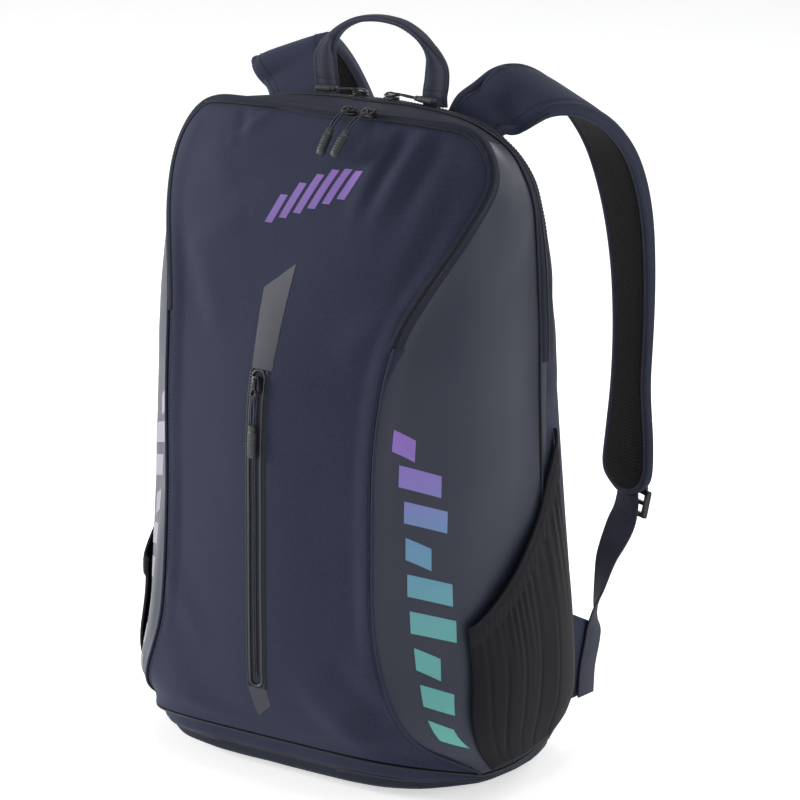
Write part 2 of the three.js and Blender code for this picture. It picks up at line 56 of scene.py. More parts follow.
# ---- Driving dimensions, as in the CAD model -------------------------------------------------------
RINGS = {
    "back": [
        (154, 46, 44), (158, 48, 62), (157, 44.5, 120), (152, 39, 205), (147.5, 33, 290), (146, 27, 357),
        (139, 22, 424), (128, 18, 460), (106, 16, 481), (66, 14, 492), (0, 13, 496),
    ],
    "zip": [
        (162, 0, 25), (168, 0, 60), (167, 0, 120), (161, 0, 205), (158.5, 0, 290), (157.5, 0, 357),
        (151, 0, 424), (138, 0, 461), (112, 0, 485), (68, 0, 498), (0, 0, 501),
    ],
    "sideRear": [
        (160, -24, 19.5), (164, -60, 59), (161, -57, 119), (156, -53, 205), (154, -52, 290),
        (152.5, -50, 357), (151.5, -27, 424), (142, -18, 463), (117, -17, 487), (72, -18, 500.5),
        (0, -19, 502.5),
    ],
    "sideFront": [
        (157, -47, 17), (149, -100, 58), (143, -99, 118), (139, -97, 205), (138, -93, 290), (138, -86, 357),
        (146, -54, 424), (144, -36, 464.5), (120.5, -31.5, 491.5), (77, -35, 502), (0, -38, 502),
    ],
    "seam": [
        (151, -70, 16.5), (122, -126, 57), (99, -136, 118), (93.5, -135, 205), (95, -131.5, 290),
        (104, -116, 357), (132, -79, 424), (141, -53, 464), (121.5, -46, 493.5), (80, -51.5, 500),
        (0, -57, 499),
    ],
}
RINGS = {name: np.array(points) * MM for name, points in RINGS.items()}
FRONT_MIDDLE = np.array([
    (-139, 36), (-149, 72), (-151, 125), (-151, 205), (-149, 290), (-135, 353), (-110, 418), (-88, 464),
    (-57, 499),
]) * MM
BACK_MIDDLE = np.array([
    (57, 49), (59, 68), (56, 125), (49, 206), (41.5, 291), (35, 357), (28, 425), (23, 464), (13, 496),
]) * MM
FRONT_SQUARENESS = np.array([5, 3.2, 2.5, 2.4, 2.4, 2.5, 3, 3.2, 4])[:, None]
BACK_SQUARENESS = 4
STATIONS = len(RINGS["zip"]) - 1
CORNER = 8 / STATIONS
SHOULDER = 7.8 / STATIONS
SHARES = np.linspace(0, CORNER, 800)
CREASE_Z = 0.345
ZIP_END_Z = 0.322
FRONT_ZIP_END_Z = 0.348


# ---- Surfaces of the bag ---------------------------------------------------------------------------
def mix(a, b, t):
    return a + (b - a) * t


def spline(a, b, c, d, t):
    return b + 0.5 * t * (c - a + t * (2 * a - 5 * b + 4 * c - d + t * (3 * (b - c) + d - a)))


def through(stations, share, mirrored=False):
    """Smooth curve through evenly spaced stations; "mirrored" makes it level across its last one."""
    points = np.asarray(stations, float)
    after = points[-2] * (-1, 1, 1) if mirrored else 2 * points[-1] - points[-2]
    points = np.vstack([2 * points[0] - points[1], points, after])
    last = len(stations) - 1
    place = np.clip(np.asarray(share, float), 0, 1) * last
    i = np.minimum(last - 1, np.floor(place)).astype(int)
    return spline(points[i], points[i + 1], points[i + 2], points[i + 3], (place - i)[..., None])


def ring(name, s):
    return through(RINGS[name], s, True)


def share_at(name, height):
    """The share of the ring at which it reaches a height on its way up the side."""
    return np.interp(height, ring(name, SHARES)[:, 2], SHARES)


def share_at_front(height):
    return np.interp(height, front(np.zeros(len(SHARES)), SHARES)[:, 2], SHARES)


def gusset(s, t):
    """The side and top cloth: t is 0 at the main zip and 1 at the front seam."""
    s, t = np.broadcast_arrays(np.asarray(s, float), np.asarray(t, float))
    a, b, c, d = (ring(name, s) for name in ("zip", "sideRear", "sideFront", "seam"))
    place = np.clip(t, 0, 1) * 3
    i = np.minimum(2, np.floor(place))[..., None]
    f = place[..., None] - i
    first = spline(2 * a - b, a, b, c, f)
    second = spline(a, b, c, d, f)
    third = spline(b, c, d, 2 * d - c, f)
    return np.where(i < 1, first, np.where(i < 2, second, third))


def rear_gusset(s, t):
    s, t = np.broadcast_arrays(np.asarray(s, float), np.asarray(t, float))
    a, b = ring("zip", s), ring("back", s)
    bulge = 2.5 * MM * np.sin(math.pi * t) * (s > CORNER)
    x = mix(a[..., 0], b[..., 0], t * t)
    return np.stack([x, mix(a[..., 1], b[..., 1], t), mix(a[..., 2], b[..., 2], t) + bulge], -1)


def panel(ring_name, middle, power, u, s):
    """A panel inside a ring: u runs from -1 on its left edge to 1 on its right."""
    u, s = np.broadcast_arrays(np.asarray(u, float), np.asarray(s, float))
    edge = ring(ring_name, s)
    centre = through(middle, s / CORNER)
    fill = 1 - np.abs(u) ** power(s)
    y = mix(edge[..., 1], centre[..., 0], fill)
    return np.stack([u * edge[..., 0], y, mix(edge[..., 2], centre[..., 1], fill)], -1)


def front(u, s):
    return panel("seam", FRONT_MIDDLE, lambda s: through(FRONT_SQUARENESS, s / CORNER)[..., 0], u, s)


def back(u, s):
    return panel("back", BACK_MIDDLE, lambda s: BACK_SQUARENESS, u, s)


def on_front(x, z):
    """The place on the front, flap included, at a distance x from its middle and a height z."""
    share = share_at_front(z)
    return front(x / ring("seam", share)[..., 0], share)


def gusset_length(s):
    return np.linalg.norm(gusset(s, 0) - gusset(s, 1), axis=-1) * 1.08


def inside_seams(s, a):
    """The side and top cloth between its two zips or seams, clear of both."""
    length = gusset_length(s)
    return gusset(s, mix(0.5 * MM / length, 1 - 1.2 * MM / length, a))


def mirror(points, side):
    return points * (side, 1, 1)


def to_side(points, way):
    """Points of the right side, mirrored where "way" is below 0."""
    return points * np.stack([np.where(way < 0, -1, 1), np.ones_like(way), np.ones_like(way)], -1)


def over_top(surface, low):
    """surface(s, a) carried from one side, over the top, to the other: b runs 0 to 1 along the arch."""
    def arch(a, b):
        way = mix(-1, 1, b)
        return to_side(surface(mix(1, low, np.abs(way)), a), way)
    return arch


# ---- Mesh building ---------------------------------------------------------------------------------
def unit(vectors):
    return vectors / np.maximum(np.linalg.norm(vectors, axis=-1, keepdims=True), 1e-12)


def lengths(path):
    """How far along a path each of its points lies."""
    return np.concatenate([[0], np.cumsum(np.linalg.norm(np.diff(path, axis=0), axis=1))])


def normals_of(points, core=CORE):
    """Unit normals of a grid of points, away from the core."""
    normal = unit(np.cross(np.gradient(points, axis=1), np.gradient(points, axis=0)))
    return normal * np.sign((normal * (points - core) * (1, 1, 0.2)).sum())


def wobble(points, size, seed, count=9):
    """Smooth bumps between about -1 and 1, "size" metres across."""
    random = np.random.default_rng(seed)
    total = 0
    for _ in range(count):
        way = random.normal(size=3)
        way *= 2 * math.pi / size / np.linalg.norm(way) * random.uniform(0.6, 1.6)
        total = total + np.sin(points @ way + random.uniform(0, 2 * math.pi))
    return total / math.sqrt(count)


def add_object(name, mesh):
    made = bpy.data.objects.new(name, mesh)
    bpy.context.scene.collection.objects.link(made)
    return made


def new_object(name, vertices, faces, uvs=None):
    mesh = bpy.data.meshes.new(name)
    mesh.from_pydata(np.asarray(vertices).reshape(-1, 3).tolist(), [], [tuple(f) for f in faces])
    mesh.validate()
    if uvs is not None:
        layer = mesh.uv_layers.new(name="UVMap")
        index = np.zeros(len(mesh.loops), int)
        mesh.loops.foreach_get("vertex_index", index)
        layer.data.foreach_set("uv", np.asarray(uvs, float).reshape(-1, 2)[index].ravel())
    mesh.polygons.foreach_set("use_smooth", [True] * len(mesh.polygons))
    return add_object(name, mesh)


def grid_faces(rows, columns, start=0, flip=False):
    faces = []
    for j in range(rows - 1):
        for i in range(columns - 1):
            k = start + j * columns + i
            quad = (k, k + 1, k + columns + 1, k + columns)
            faces.append(quad[::-1] if flip else quad)
    return faces


def tube_faces(rings, sides):
    """Faces between closed rings of points, and over both ends."""
    faces = []
    for j in range(rings - 1):
        for i in range(sides):
            k, m = j * sides + i, j * sides + (i + 1) % sides
            faces.append((k, m, m + sides, k + sides))
    end = (rings - 1) * sides
    return faces, [tuple(range(sides - 1, -1, -1)), tuple(range(end, end + sides))]


def arc_uv(points):
    """Lengths along and across a grid, in metres."""
    across = np.linalg.norm(np.diff(points, axis=1), axis=-1)
    along = np.linalg.norm(np.diff(points, axis=0), axis=-1)
    u = np.concatenate([np.zeros((len(points), 1)), np.cumsum(across, 1)], 1)
    u -= u[:, -1:] / 2
    v = np.concatenate([np.zeros((1, points.shape[1])), np.cumsum(along, 0)], 0)
    return np.stack([u, np.broadcast_to(v.mean(1, keepdims=True), u.shape)], -1)


def shell(name, outer, inner, uv=None):
    """A closed cloth between two grids of points. Faces of the inner side and rim use material 1."""
    rows, columns = outer.shape[:2]
    count = rows * columns
    uv = arc_uv(outer) if uv is None else uv
    facing = np.cross(outer[:-1, 1:] - outer[:-1, :-1], outer[1:, :-1] - outer[:-1, :-1])
    flip = (facing * (outer - inner)[:-1, :-1]).sum() < 0
    faces = grid_faces(rows, columns, 0, flip)
    face_count = len(faces)
    faces += grid_faces(rows, columns, count, not flip)
    rim = [i for i in range(columns)]
    rim += [j * columns + columns - 1 for j in range(1, rows)]
    rim += [(rows - 1) * columns + i for i in range(columns - 2, -1, -1)]
    rim += [j * columns for j in range(rows - 2, 0, -1)]
    for k, a in enumerate(rim):
        b = rim[(k + 1) % len(rim)]
        quad = (a, count + a, count + b, b)
        faces.append(quad[::-1] if flip else quad)
    points = np.concatenate([outer.reshape(-1, 3), inner.reshape(-1, 3)])
    made = new_object(name, points, faces, np.concatenate([uv.reshape(-1, 2)] * 2))
    slots = np.ones(len(made.data.polygons), int)
    slots[:face_count] = 0
    made.data.polygons.foreach_set("material_index", slots)
    return make_flat(made, 55)


def make_flat(made, angle=50):
    """Edges sharper than the angle are drawn sharp."""
    made.data.set_sharp_from_angle(angle=math.radians(angle))
    return made


def grid(across, along):
    """Shares a and b over a grid of points."""
    b, a = np.meshgrid(np.linspace(0, 1, along), np.linspace(0, 1, across), indexing="ij")
    return a, b


def edge_fade(a, b, width=0.12):
    """0 on the border of a grid, 1 further in than "width"."""
    near = np.minimum(np.minimum(a, 1 - a), np.minimum(b, 1 - b)) / width
    near = np.clip(near, 0, 1)
    return near * near * (3 - 2 * near)


CLOTH_SETTINGS = {
    "quality": 6, "mass": 0.25, "tension_stiffness": 14, "compression_stiffness": 6, "shear_stiffness": 4,
    "bending_stiffness": 0.35, "use_pressure": True, "vertex_group_mass": "held",
}
SIMULATED_FRAMES = 18


def simulate(points, pressure, growth, cap):
    """Cloth simulation of a grid held at its border; returns how far each point moves."""
    rows, columns = points.shape[:2]
    body = new_object("simulated", points, grid_faces(rows, columns))
    held = np.zeros((rows, columns), bool)
    held[[0, -1], :] = True
    held[:, [0, -1]] = True
    group = body.vertex_groups.new(name="held")
    group.add([int(k) for k in np.flatnonzero(held)], 1.0, "REPLACE")
    modifier = body.modifiers.new("Cloth", "CLOTH")
    for key, value in CLOTH_SETTINGS.items():
        setattr(modifier.settings, key, value)
    modifier.settings.shrink_min = -growth
    modifier.settings.uniform_pressure_force = pressure
    modifier.settings.effector_weights.gravity = 0.3
    modifier.point_cache.frame_start = 1
    modifier.point_cache.frame_end = SIMULATED_FRAMES
    scene = bpy.context.scene
    for number in range(1, SIMULATED_FRAMES + 1):
        scene.frame_set(number)
    result = body.evaluated_get(bpy.context.evaluated_depsgraph_get()).to_mesh()
    moved = np.zeros(rows * columns * 3)
    result.vertices.foreach_get("co", moved)
    bpy.data.objects.remove(body)
    scene.frame_set(1)
    shift = moved.reshape(points.shape) - points
    length = np.linalg.norm(shift, axis=-1, keepdims=True)
    return shift * np.minimum(1, cap / np.maximum(length, 1e-9))


def blur(field, passes):
    """Evens out a grid of vectors; its border stays."""
    field = field.copy()
    for _ in range(passes):
        field[1:-1] = (field[:-2] + field[2:] + 2 * field[1:-1]) / 4
        field[:, 1:-1] = (field[:, :-2] + field[:, 2:] + 2 * field[:, 1:-1]) / 4
    return field


def resample(field, a, b):
    """A coarse grid of values read at the shares a and b, without its facets."""
    field = blur(field, 2)
    rows, columns = field.shape[:2]
    x = np.clip(a, 0, 1) * (columns - 1)
    y = np.clip(b, 0, 1) * (rows - 1)
    i = np.minimum(columns - 2, x.astype(int))
    j = np.minimum(rows - 2, y.astype(int))
    f, g = (x - i)[..., None], (y - j)[..., None]
    low = mix(field[j, i], field[j, i + 1], f)
    high = mix(field[j + 1, i], field[j + 1, i + 1], f)
    return blur(mix(low, high, g), 12)


def slack(surface, a, b, drape):
    """How far the simulated cloth hangs off its surface; "drape" holds a coarse grid and its settings."""
    if not drape:
        return np.zeros((*a.shape, 3))
    across, along, pressure, growth, cap = drape
    return resample(simulate(surface(*grid(across, along)), pressure, growth, cap), a, b)


def cloth(name, surface, across, along, thick=2.0 * MM, lift=0.0, drape=None, ripple=0.5 * MM, seed=1,
          core=CORE):
    """A sewn panel over surface(a, b), with simulated slack and a slight ripple."""
    a, b = grid(across, along)
    points = surface(a, b)
    normal = normals_of(points, core)
    relief = wobble(points, 0.05, seed) * ripple * edge_fade(a, b)
    shift = slack(surface, a, b, drape) + normal * relief[..., None]
    outer = points + normal * lift + shift
    return shell(name, outer, outer - normal * thick)


def sweep(name, path, across, section, close_ends=True):
    """A closed section (pairs of across and up offsets), or one for each point, carried along a path."""
    path, section = np.asarray(path, float), np.asarray(section, float)
    run = unit(np.gradient(path, axis=0))
    across = np.broadcast_to(np.asarray(across, float), path.shape).copy()
    across -= run * (across * run).sum(1, keepdims=True)
    across /= np.linalg.norm(across, axis=1, keepdims=True)
    up = np.cross(run, across)
    sections = np.broadcast_to(section, (len(path), *section.shape[-2:]))
    points = path[:, None] + across[:, None] * sections[..., :1] + up[:, None] * sections[..., 1:]
    uv = np.stack(np.meshgrid(lengths(sections[len(path) // 2]), lengths(path)), -1)
    faces, ends = tube_faces(*sections.shape[:2])
    made = new_object(name, points, faces + ends if close_ends else faces, uv)
    outward(made)
    return made


def outward(made):
    """Turns every face outwards."""
    mesh = bmesh.new()
    mesh.from_mesh(made.data)
    bmesh.ops.recalc_face_normals(mesh, faces=mesh.faces)
    mesh.to_mesh(made.data)
    mesh.free()


def circle(radius, sides=8):
    turn = np.arange(sides) / sides * 2 * math.pi
    return np.stack([np.cos(turn), np.sin(turn)], -1) * radius


def squared(count, power, other=None):
    """A unit circle swollen towards a square."""
    turn = np.arange(count) / count * 2 * math.pi
    c, s = np.cos(turn), np.sin(turn)
    return np.stack([np.sign(c) * np.abs(c) ** power, np.sign(s) * np.abs(s) ** (other or power)], -1)


def round_corners(half_x, half_y, radius, steps, nose=0.0):
    """Points round a rectangle with rounded corners, whose right end narrows by "nose"."""
    points = []
    for k, (x, y) in enumerate(((1, 1), (-1, 1), (-1, -1), (1, -1))):
        half = half_y * (1 - (nose if x > 0 else 0))
        for turn in (k + np.linspace(0, 1, steps + 1)) * math.pi / 2:
            points.append((x * (half_x - radius) + math.cos(turn) * radius,
                           y * (half - radius) + math.sin(turn) * radius))
    return np.array(points)


def oblong(width, thick, rounding=0.8 * MM, steps=3):
    return round_corners(width / 2, thick / 2, rounding, steps)


def even(path, gap=None, count=None):
    """The same path with evenly spaced points."""
    path = np.asarray(path, float)
    length = lengths(path)
    count = count or max(2, int(round(length[-1] / gap)) + 1)
    at = np.linspace(0, length[-1], count)
    return np.stack([np.interp(at, length, column) for column in path.T], -1)


def closed(path):
    return np.vstack([path, path[:1]])


def there_and_back(one, other):
    return np.vstack([one, other[::-1]])


def quad_points(shape, a, b):
    """Points within a four-sided shape: low left, low right, high right, high left."""
    low = mix(shape[0], shape[1], a[..., None])
    return mix(low, mix(shape[3], shape[2], a[..., None]), b[..., None])


def smooth_path(points, count):
    return through(np.asarray(points, float), np.linspace(0, 1, count))


def tree_of(*cloths, every=False):
    """Search tree over the outer faces of cloths, or over all of their faces."""
    points, faces = [], []
    for made in cloths:
        start = len(points)
        points += [v.co.copy() for v in made.data.vertices]
        used = [f for f in made.data.polygons if every or f.material_index == 0]
        faces += [[start + v for v in f.vertices] for f in used]
    return BVHTree.FromPolygons(points, faces)


def snap(points, tree, lift):
    """Each point moved to the nearest place on the tree's surface; returns places and normals."""
    places, ups = [], []
    for p in np.asarray(points, float):
        location, normal, _, _ = tree.find_nearest(Vector(p))
        places.append(np.array(location) + np.array(normal) * lift)
        ups.append(np.array(normal))
    return np.array(places), np.array(ups)


BOX_FACES = [(0, 1, 2, 3), (7, 6, 5, 4), (0, 4, 5, 1), (1, 5, 6, 2), (2, 6, 7, 3), (3, 7, 4, 0)]


def peg(length, width, height, taper=0.7):
    """A small block whose top is smaller than its foot."""
    x, y, z = length / 2, width / 2, height / 2
    low = [(-x, -y, -z), (-x, y, -z), (x, y, -z), (x, -y, -z)]
    return np.array(low + [(px * taper, py * taper, z) for px, py, _ in low])


def row_of(name, path, tree, lift, gap, block, shift=0.0):
    """Blocks in a row along a path on a cloth, such as stitches or zip teeth."""
    path = even(path, gap)
    places, ups = snap((path[:-1] + path[1:]) / 2, tree, lift)
    run = np.diff(path, axis=0)
    run -= ups * (run * ups).sum(1, keepdims=True)
    run /= np.maximum(np.linalg.norm(run, axis=1, keepdims=True), 1e-9)
    across = np.cross(ups, run)
    bases = np.stack([run, across, ups], 1)
    points = np.einsum("tk,nkd->ntd", block, bases) + (places + across * shift)[:, None]
    faces = [tuple(v + n * len(block) for v in face) for n in range(len(places)) for face in BOX_FACES]
    return new_object(name, points, faces)


def join(name, parts):
    """Several meshes as one piece, with their materials."""
    bpy.ops.object.select_all(action="DESELECT")
    for part in parts:
        part.select_set(True)
    bpy.context.view_layer.objects.active = parts[0]
    bpy.ops.object.join()
    parts[0].name = name
    parts[0].data.name = name
    return parts[0]


# ---- What each piece rides on ----------------------------------------------------------------------
# soft bends between two bodies, looked up here only by name: the two bodies, then where the bend starts and ends
BENDS = {
    "mouth": ("root", "front_box", (0, -0.11, 0.306), (0, -0.11, 0.337)),
    "crease": ("front_box", "flap", (0, -0.153, 0.349), (0, -0.153, 0.374)),
    "handle_root": ("root", "handle", (0, 0.012, 0.4995), (0, 0.012, 0.509)),
    "strap_left_root": ("root", "strap_left", (0, 0.026, 0.49), (0, 0.062, 0.49)),
    "strap_right_root": ("root", "strap_right", (0, 0.026, 0.49), (0, 0.062, 0.49)),
}


def settle(made, hold, slot, *nodes):
    """Fixes a piece to its body, or bakes it in place in the world when its hold is a bend, and hides the CAD nodes
    it stands for; slot is not used.
    """
    if hold in BENDS:
        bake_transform(made)
    else:
        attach(made, hold)
    if nodes:
        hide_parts(*nodes)
    return made


def paint(made, *materials):
    """Gives the piece its materials; faces keep the numbers that they had."""
    slots = np.zeros(len(made.data.polygons), int)
    made.data.polygons.foreach_get("material_index", slots)
    made.data.materials.clear()
    for material in materials:
        made.data.materials.append(material)
    made.data.polygons.foreach_set("material_index", np.minimum(slots, len(materials) - 1))
    return made


# ---- Materials -------------------------------------------------------------------------------------
class Finish:
    """A node material built in steps, on a Principled shader whose constants are set directly."""

    def __init__(self, name, roughness, **constants):
        self.material = bpy.data.materials.new(name)
        self.material.use_nodes = True
        self.tree = self.material.node_tree
        self.shader = self.tree.nodes["Principled BSDF"]
        self.shader.inputs["Roughness"].default_value = roughness
        for socket, value in constants.items():
            self.shader.inputs[socket.replace("_", " ")].default_value = value
        self.uv = self.node("ShaderNodeTexCoord").outputs["UV"]

    def node(self, kind, inputs=(), **settings):
        made = self.tree.nodes.new(kind)
        for key, value in settings.items():
            setattr(made, key, value)
        for key, value in dict(inputs).items():
            if isinstance(value, bpy.types.NodeSocket):
                self.tree.links.new(value, made.inputs[key])
            else:
                made.inputs[key].default_value = value
        return made

    def math(self, operation, *values, clamp=False):
        return self.node("ShaderNodeMath", enumerate(values), operation=operation, use_clamp=clamp).outputs[0]

    def weigh(self, a, share, b, rest):
        """a and b added, each times its own weight."""
        return self.math("ADD", self.math("MULTIPLY", a, share), self.math("MULTIPLY", b, rest))

    def wave(self, period, direction):
        inputs = {"Vector": self.uv, "Scale": math.pi / 10 / period}
        return self.node("ShaderNodeTexWave", inputs, bands_direction=direction).outputs["Fac"]

    def noise(self, size, detail=2.0):
        inputs = {"Vector": self.uv, "Scale": 1 / size, "Detail": detail}
        return self.node("ShaderNodeTexNoise", inputs).outputs["Fac"]

    def blend(self, share, a, b):
        inputs = {0: share, 6: (*a, 1), 7: (*b, 1)}
        return self.node("ShaderNodeMix", inputs, data_type="RGBA").outputs[2]

    def ramp(self, share, *stops):
        made = self.node("ShaderNodeValToRGB", {0: share})
        while len(made.color_ramp.elements) < len(stops):
            made.color_ramp.elements.new(0.5)
        for element, (at, colour) in zip(made.color_ramp.elements, stops):
            element.position = at
            element.color = (*colour, 1)
        return made.outputs[0]

    def colour(self, colour):
        self.tree.links.new(colour, self.shader.inputs["Base Color"])

    def vary_roughness(self, share, middle, swing):
        rough = self.math("MULTIPLY_ADD", share, swing, middle - swing / 2)
        self.tree.links.new(rough, self.shader.inputs["Roughness"])

    def bump(self, height, depth, strength=0.6):
        made = self.node("ShaderNodeBump", {"Height": height, "Distance": depth, "Strength": strength})
        self.tree.links.new(made.outputs[0], self.shader.inputs["Normal"])
        return self.material


def shades(colour, dark, light):
    return tuple(c * dark for c in colour), tuple(c * light for c in colour)


def woven(name, colour, roughness, period, depth, weave="plain", contrast=(0.7, 1.25), mottle=0.2,
          **constants):
    """Cloth of crossing threads, one "period" wide: plain, twill or rib."""
    made = Finish(name, roughness, **constants)
    if weave == "twill":
        height = made.weigh(made.wave(period, "DIAGONAL"), 0.7, made.wave(period * 0.7, "X"), 0.3)
    elif weave == "rib":
        height = made.weigh(made.wave(period, "X"), 0.75, made.wave(period * 0.6, "Y"), 0.25)
    else:
        height = made.math("MULTIPLY", made.wave(period, "X"), made.wave(period, "Y"))
    fleck = made.noise(period * 2.5, 3.0)
    cloud = made.noise(0.06)
    lines = 0.32 if weave == "twill" else 0.6
    share = made.weigh(height, lines, fleck, 1 - lines)
    uneven = made.math("MULTIPLY", made.math("SUBTRACT", cloud, 0.5), mottle)
    share = made.math("ADD", share, uneven, clamp=True)
    made.vary_roughness(fleck, roughness, 0.16)
    made.colour(made.blend(share, *shades(colour, *contrast)))
    return made.bump(share, depth)


def holed(name, colour, roughness, size, depth, **constants):
    """Spacer mesh: rounded holes in a staggered grid."""
    made = Finish(name, roughness, **constants)
    cells = made.node("ShaderNodeTexVoronoi", {"Vector": made.uv, "Scale": 1 / size, "Randomness": 0.12})
    height = made.math("MULTIPLY", cells.outputs["Distance"], 1.6, clamp=True)
    made.colour(made.blend(height, *shades(colour, 1.5, 0.35)))
    return made.bump(made.math("SUBTRACT", 1.0, height), depth, 0.9)


def smooth(name, colour, roughness, grain, depth, variation=(0.9, 1.1), **constants):
    """Moulded, rubber, coated or metal finish with a fine grain."""
    made = Finish(name, roughness, **constants)
    fine = made.noise(grain, 3.0)
    broad = made.noise(grain * 40)
    made.vary_roughness(broad, roughness, 0.14)
    made.colour(made.blend(made.weigh(fine, 0.4, broad, 0.6), *shades(colour, *variation)))
    return made.bump(fine, depth, 0.4)


def print_or_painted_shade(name, roughness, specular, *stops):
    """A print, or painted shading, whose colour changes along its length; its bars carry the share in their UV's v.
    """
    made = Finish(name, roughness, Specular_IOR_Level=specular)
    v = made.node("ShaderNodeSeparateXYZ", {0: made.uv}).outputs[1]
    made.colour(made.ramp(v, *stops))
    return made.bump(made.noise(0.01, 3.0), 0.05 * MM, 0.3)


NAVY, NAVY_DARK = (0.0208, 0.0250, 0.0455), (0.0165, 0.0195, 0.033)
MATT = {"Specular_IOR_Level": 0.12}
SOFT = {"Sheen_Roughness": 0.4, **MATT}
TWILL = woven("navy_twill", NAVY, 0.8, 1.1 * MM, 0.22 * MM, "twill", (0.62, 1.42), 0.25,
              Sheen_Weight=0.05, **SOFT)
TWILL_BACK = woven("navy_lining", NAVY_DARK, 0.85, 0.9 * MM, 0.1 * MM, **MATT)
COATED = smooth("coated_side", (0.0205, 0.0250, 0.0415), 0.45, 0.7 * MM, 0.03 * MM, (0.92, 1.08),
                Specular_IOR_Level=0.3)
BASE = woven("base_fabric", NAVY_DARK, 0.75, 1.0 * MM, 0.15 * MM, **MATT)
RIBBED = woven("ribbed_top", (0.018, 0.0195, 0.034), 0.7, 2.4 * MM, 0.4 * MM, "rib", (0.5, 1.45), **MATT)
MESH = holed("spacer_mesh", (0.010, 0.010, 0.011), 0.85, 2.6 * MM, 0.8 * MM, **MATT)
STRETCH = woven("stretch_mesh", (0.0090, 0.0087, 0.0110), 0.75, 1.2 * MM, 0.18 * MM, "rib", (0.6, 1.5), 0.3,
                Sheen_Weight=0.04, **SOFT)
ELASTIC = woven("elastic", (0.013, 0.013, 0.016), 0.8, 1.6 * MM, 0.25 * MM, "twill", (0.5, 1.6), **MATT)
WEBBING = woven("webbing", (0.031, 0.033, 0.050), 0.7, 2.3 * MM, 0.45 * MM, "rib", (0.4, 1.9), **MATT)
LINING = woven("lining", (0.030, 0.032, 0.037), 0.8, 1.1 * MM, 0.08 * MM, **MATT)
TAPE = woven("zip_tape", (0.0185, 0.021, 0.034), 0.75, 1.0 * MM, 0.14 * MM, "twill", **MATT)
BINDING = woven("binding", (0.024, 0.028, 0.048), 0.7, 1.3 * MM, 0.25 * MM, "rib", (0.6, 1.4), **MATT)
THREAD = woven("thread", (0.018, 0.021, 0.038), 0.6, 0.5 * MM, 0.05 * MM, "plain", (0.8, 1.3), **MATT)
TEETH = smooth("zip_teeth", (0.0075, 0.0085, 0.012), 0.35, 0.5 * MM, 0.02 * MM, Specular_IOR_Level=0.4)
FILM = smooth("bonded_film", (0.0115, 0.0135, 0.018), 0.5, 0.8 * MM, 0.02 * MM, Specular_IOR_Level=0.25)
FILM_EDGE = smooth("film_edge", (0.014, 0.017, 0.023), 0.32, 0.8 * MM, 0.02 * MM, Specular_IOR_Level=0.6)
METAL = smooth("slider_metal", (0.016, 0.016, 0.018), 0.3, 0.4 * MM, 0.02 * MM, Metallic=0.3)
RUBBER = smooth("pull_rubber", (0.024, 0.028, 0.030), 0.5, 0.6 * MM, 0.05 * MM, Specular_IOR_Level=0.35)
PLASTIC = smooth("buckle_plastic", (0.011, 0.011, 0.012), 0.38, 0.5 * MM, 0.05 * MM, Specular_IOR_Level=0.4)
BOARD = smooth("stiff_board", (0.05, 0.05, 0.05), 0.5, 1.0 * MM, 0.05 * MM)
# painted shading: the reflective film is coloured darker at its foot and lighter towards its top
REFLECTIVE_PAINTED_SHADE = print_or_painted_shade("reflective_patch_painted_shade", 0.5, 0.3, (0.0, (0.027, 0.028, 0.040)), (0.45, (0.033, 0.034, 0.047)),
                   (1.0, (0.050, 0.050, 0.063)))
PRINT_RIGHT = print_or_painted_shade("side_print", 0.45, 0.3, (0.0, (0.10, 0.33, 0.30)), (0.36, (0.10, 0.31, 0.31)),
                    (0.66, (0.11, 0.22, 0.38)), (0.82, (0.19, 0.15, 0.42)), (1.0, (0.22, 0.11, 0.40)))
PRINT_LEFT = print_or_painted_shade("side_print_pale", 0.5, 0.2, (0.0, (0.20, 0.20, 0.23)), (1.0, (0.27, 0.23, 0.31)))
PRINT_FRONT = print_or_painted_shade("front_print", 0.5, 0.2, (0.0, (0.13, 0.08, 0.26)), (1.0, (0.22, 0.12, 0.38)))


# ---- Camera, light and floor -----------------------------------------------------------------------
AZIMUTH, ELEVATION = math.radians(35), math.radians(15.5)
TARGET, DISTANCE = Vector((0, -0.053, 0.25122)), 2.544
LENS, SENSOR = 151.065, 36           # mm
AIM_RIGHT, AIM_UP = 0.0205541, 0.0107239      # how far the camera looks beside its target
LAMPS = (                            # place, size and power
    ("key", (-3.0, -1.6, 1.1), 1.2, 110),
    ("fill", (2.6, 1.2, 1.2), 1.0, 18),
    ("rim", (0.6, 2.4, 1.6), 1.2, 20),
    ("top", (-0.3, 0.3, 2.8), 1.6, 30),
)


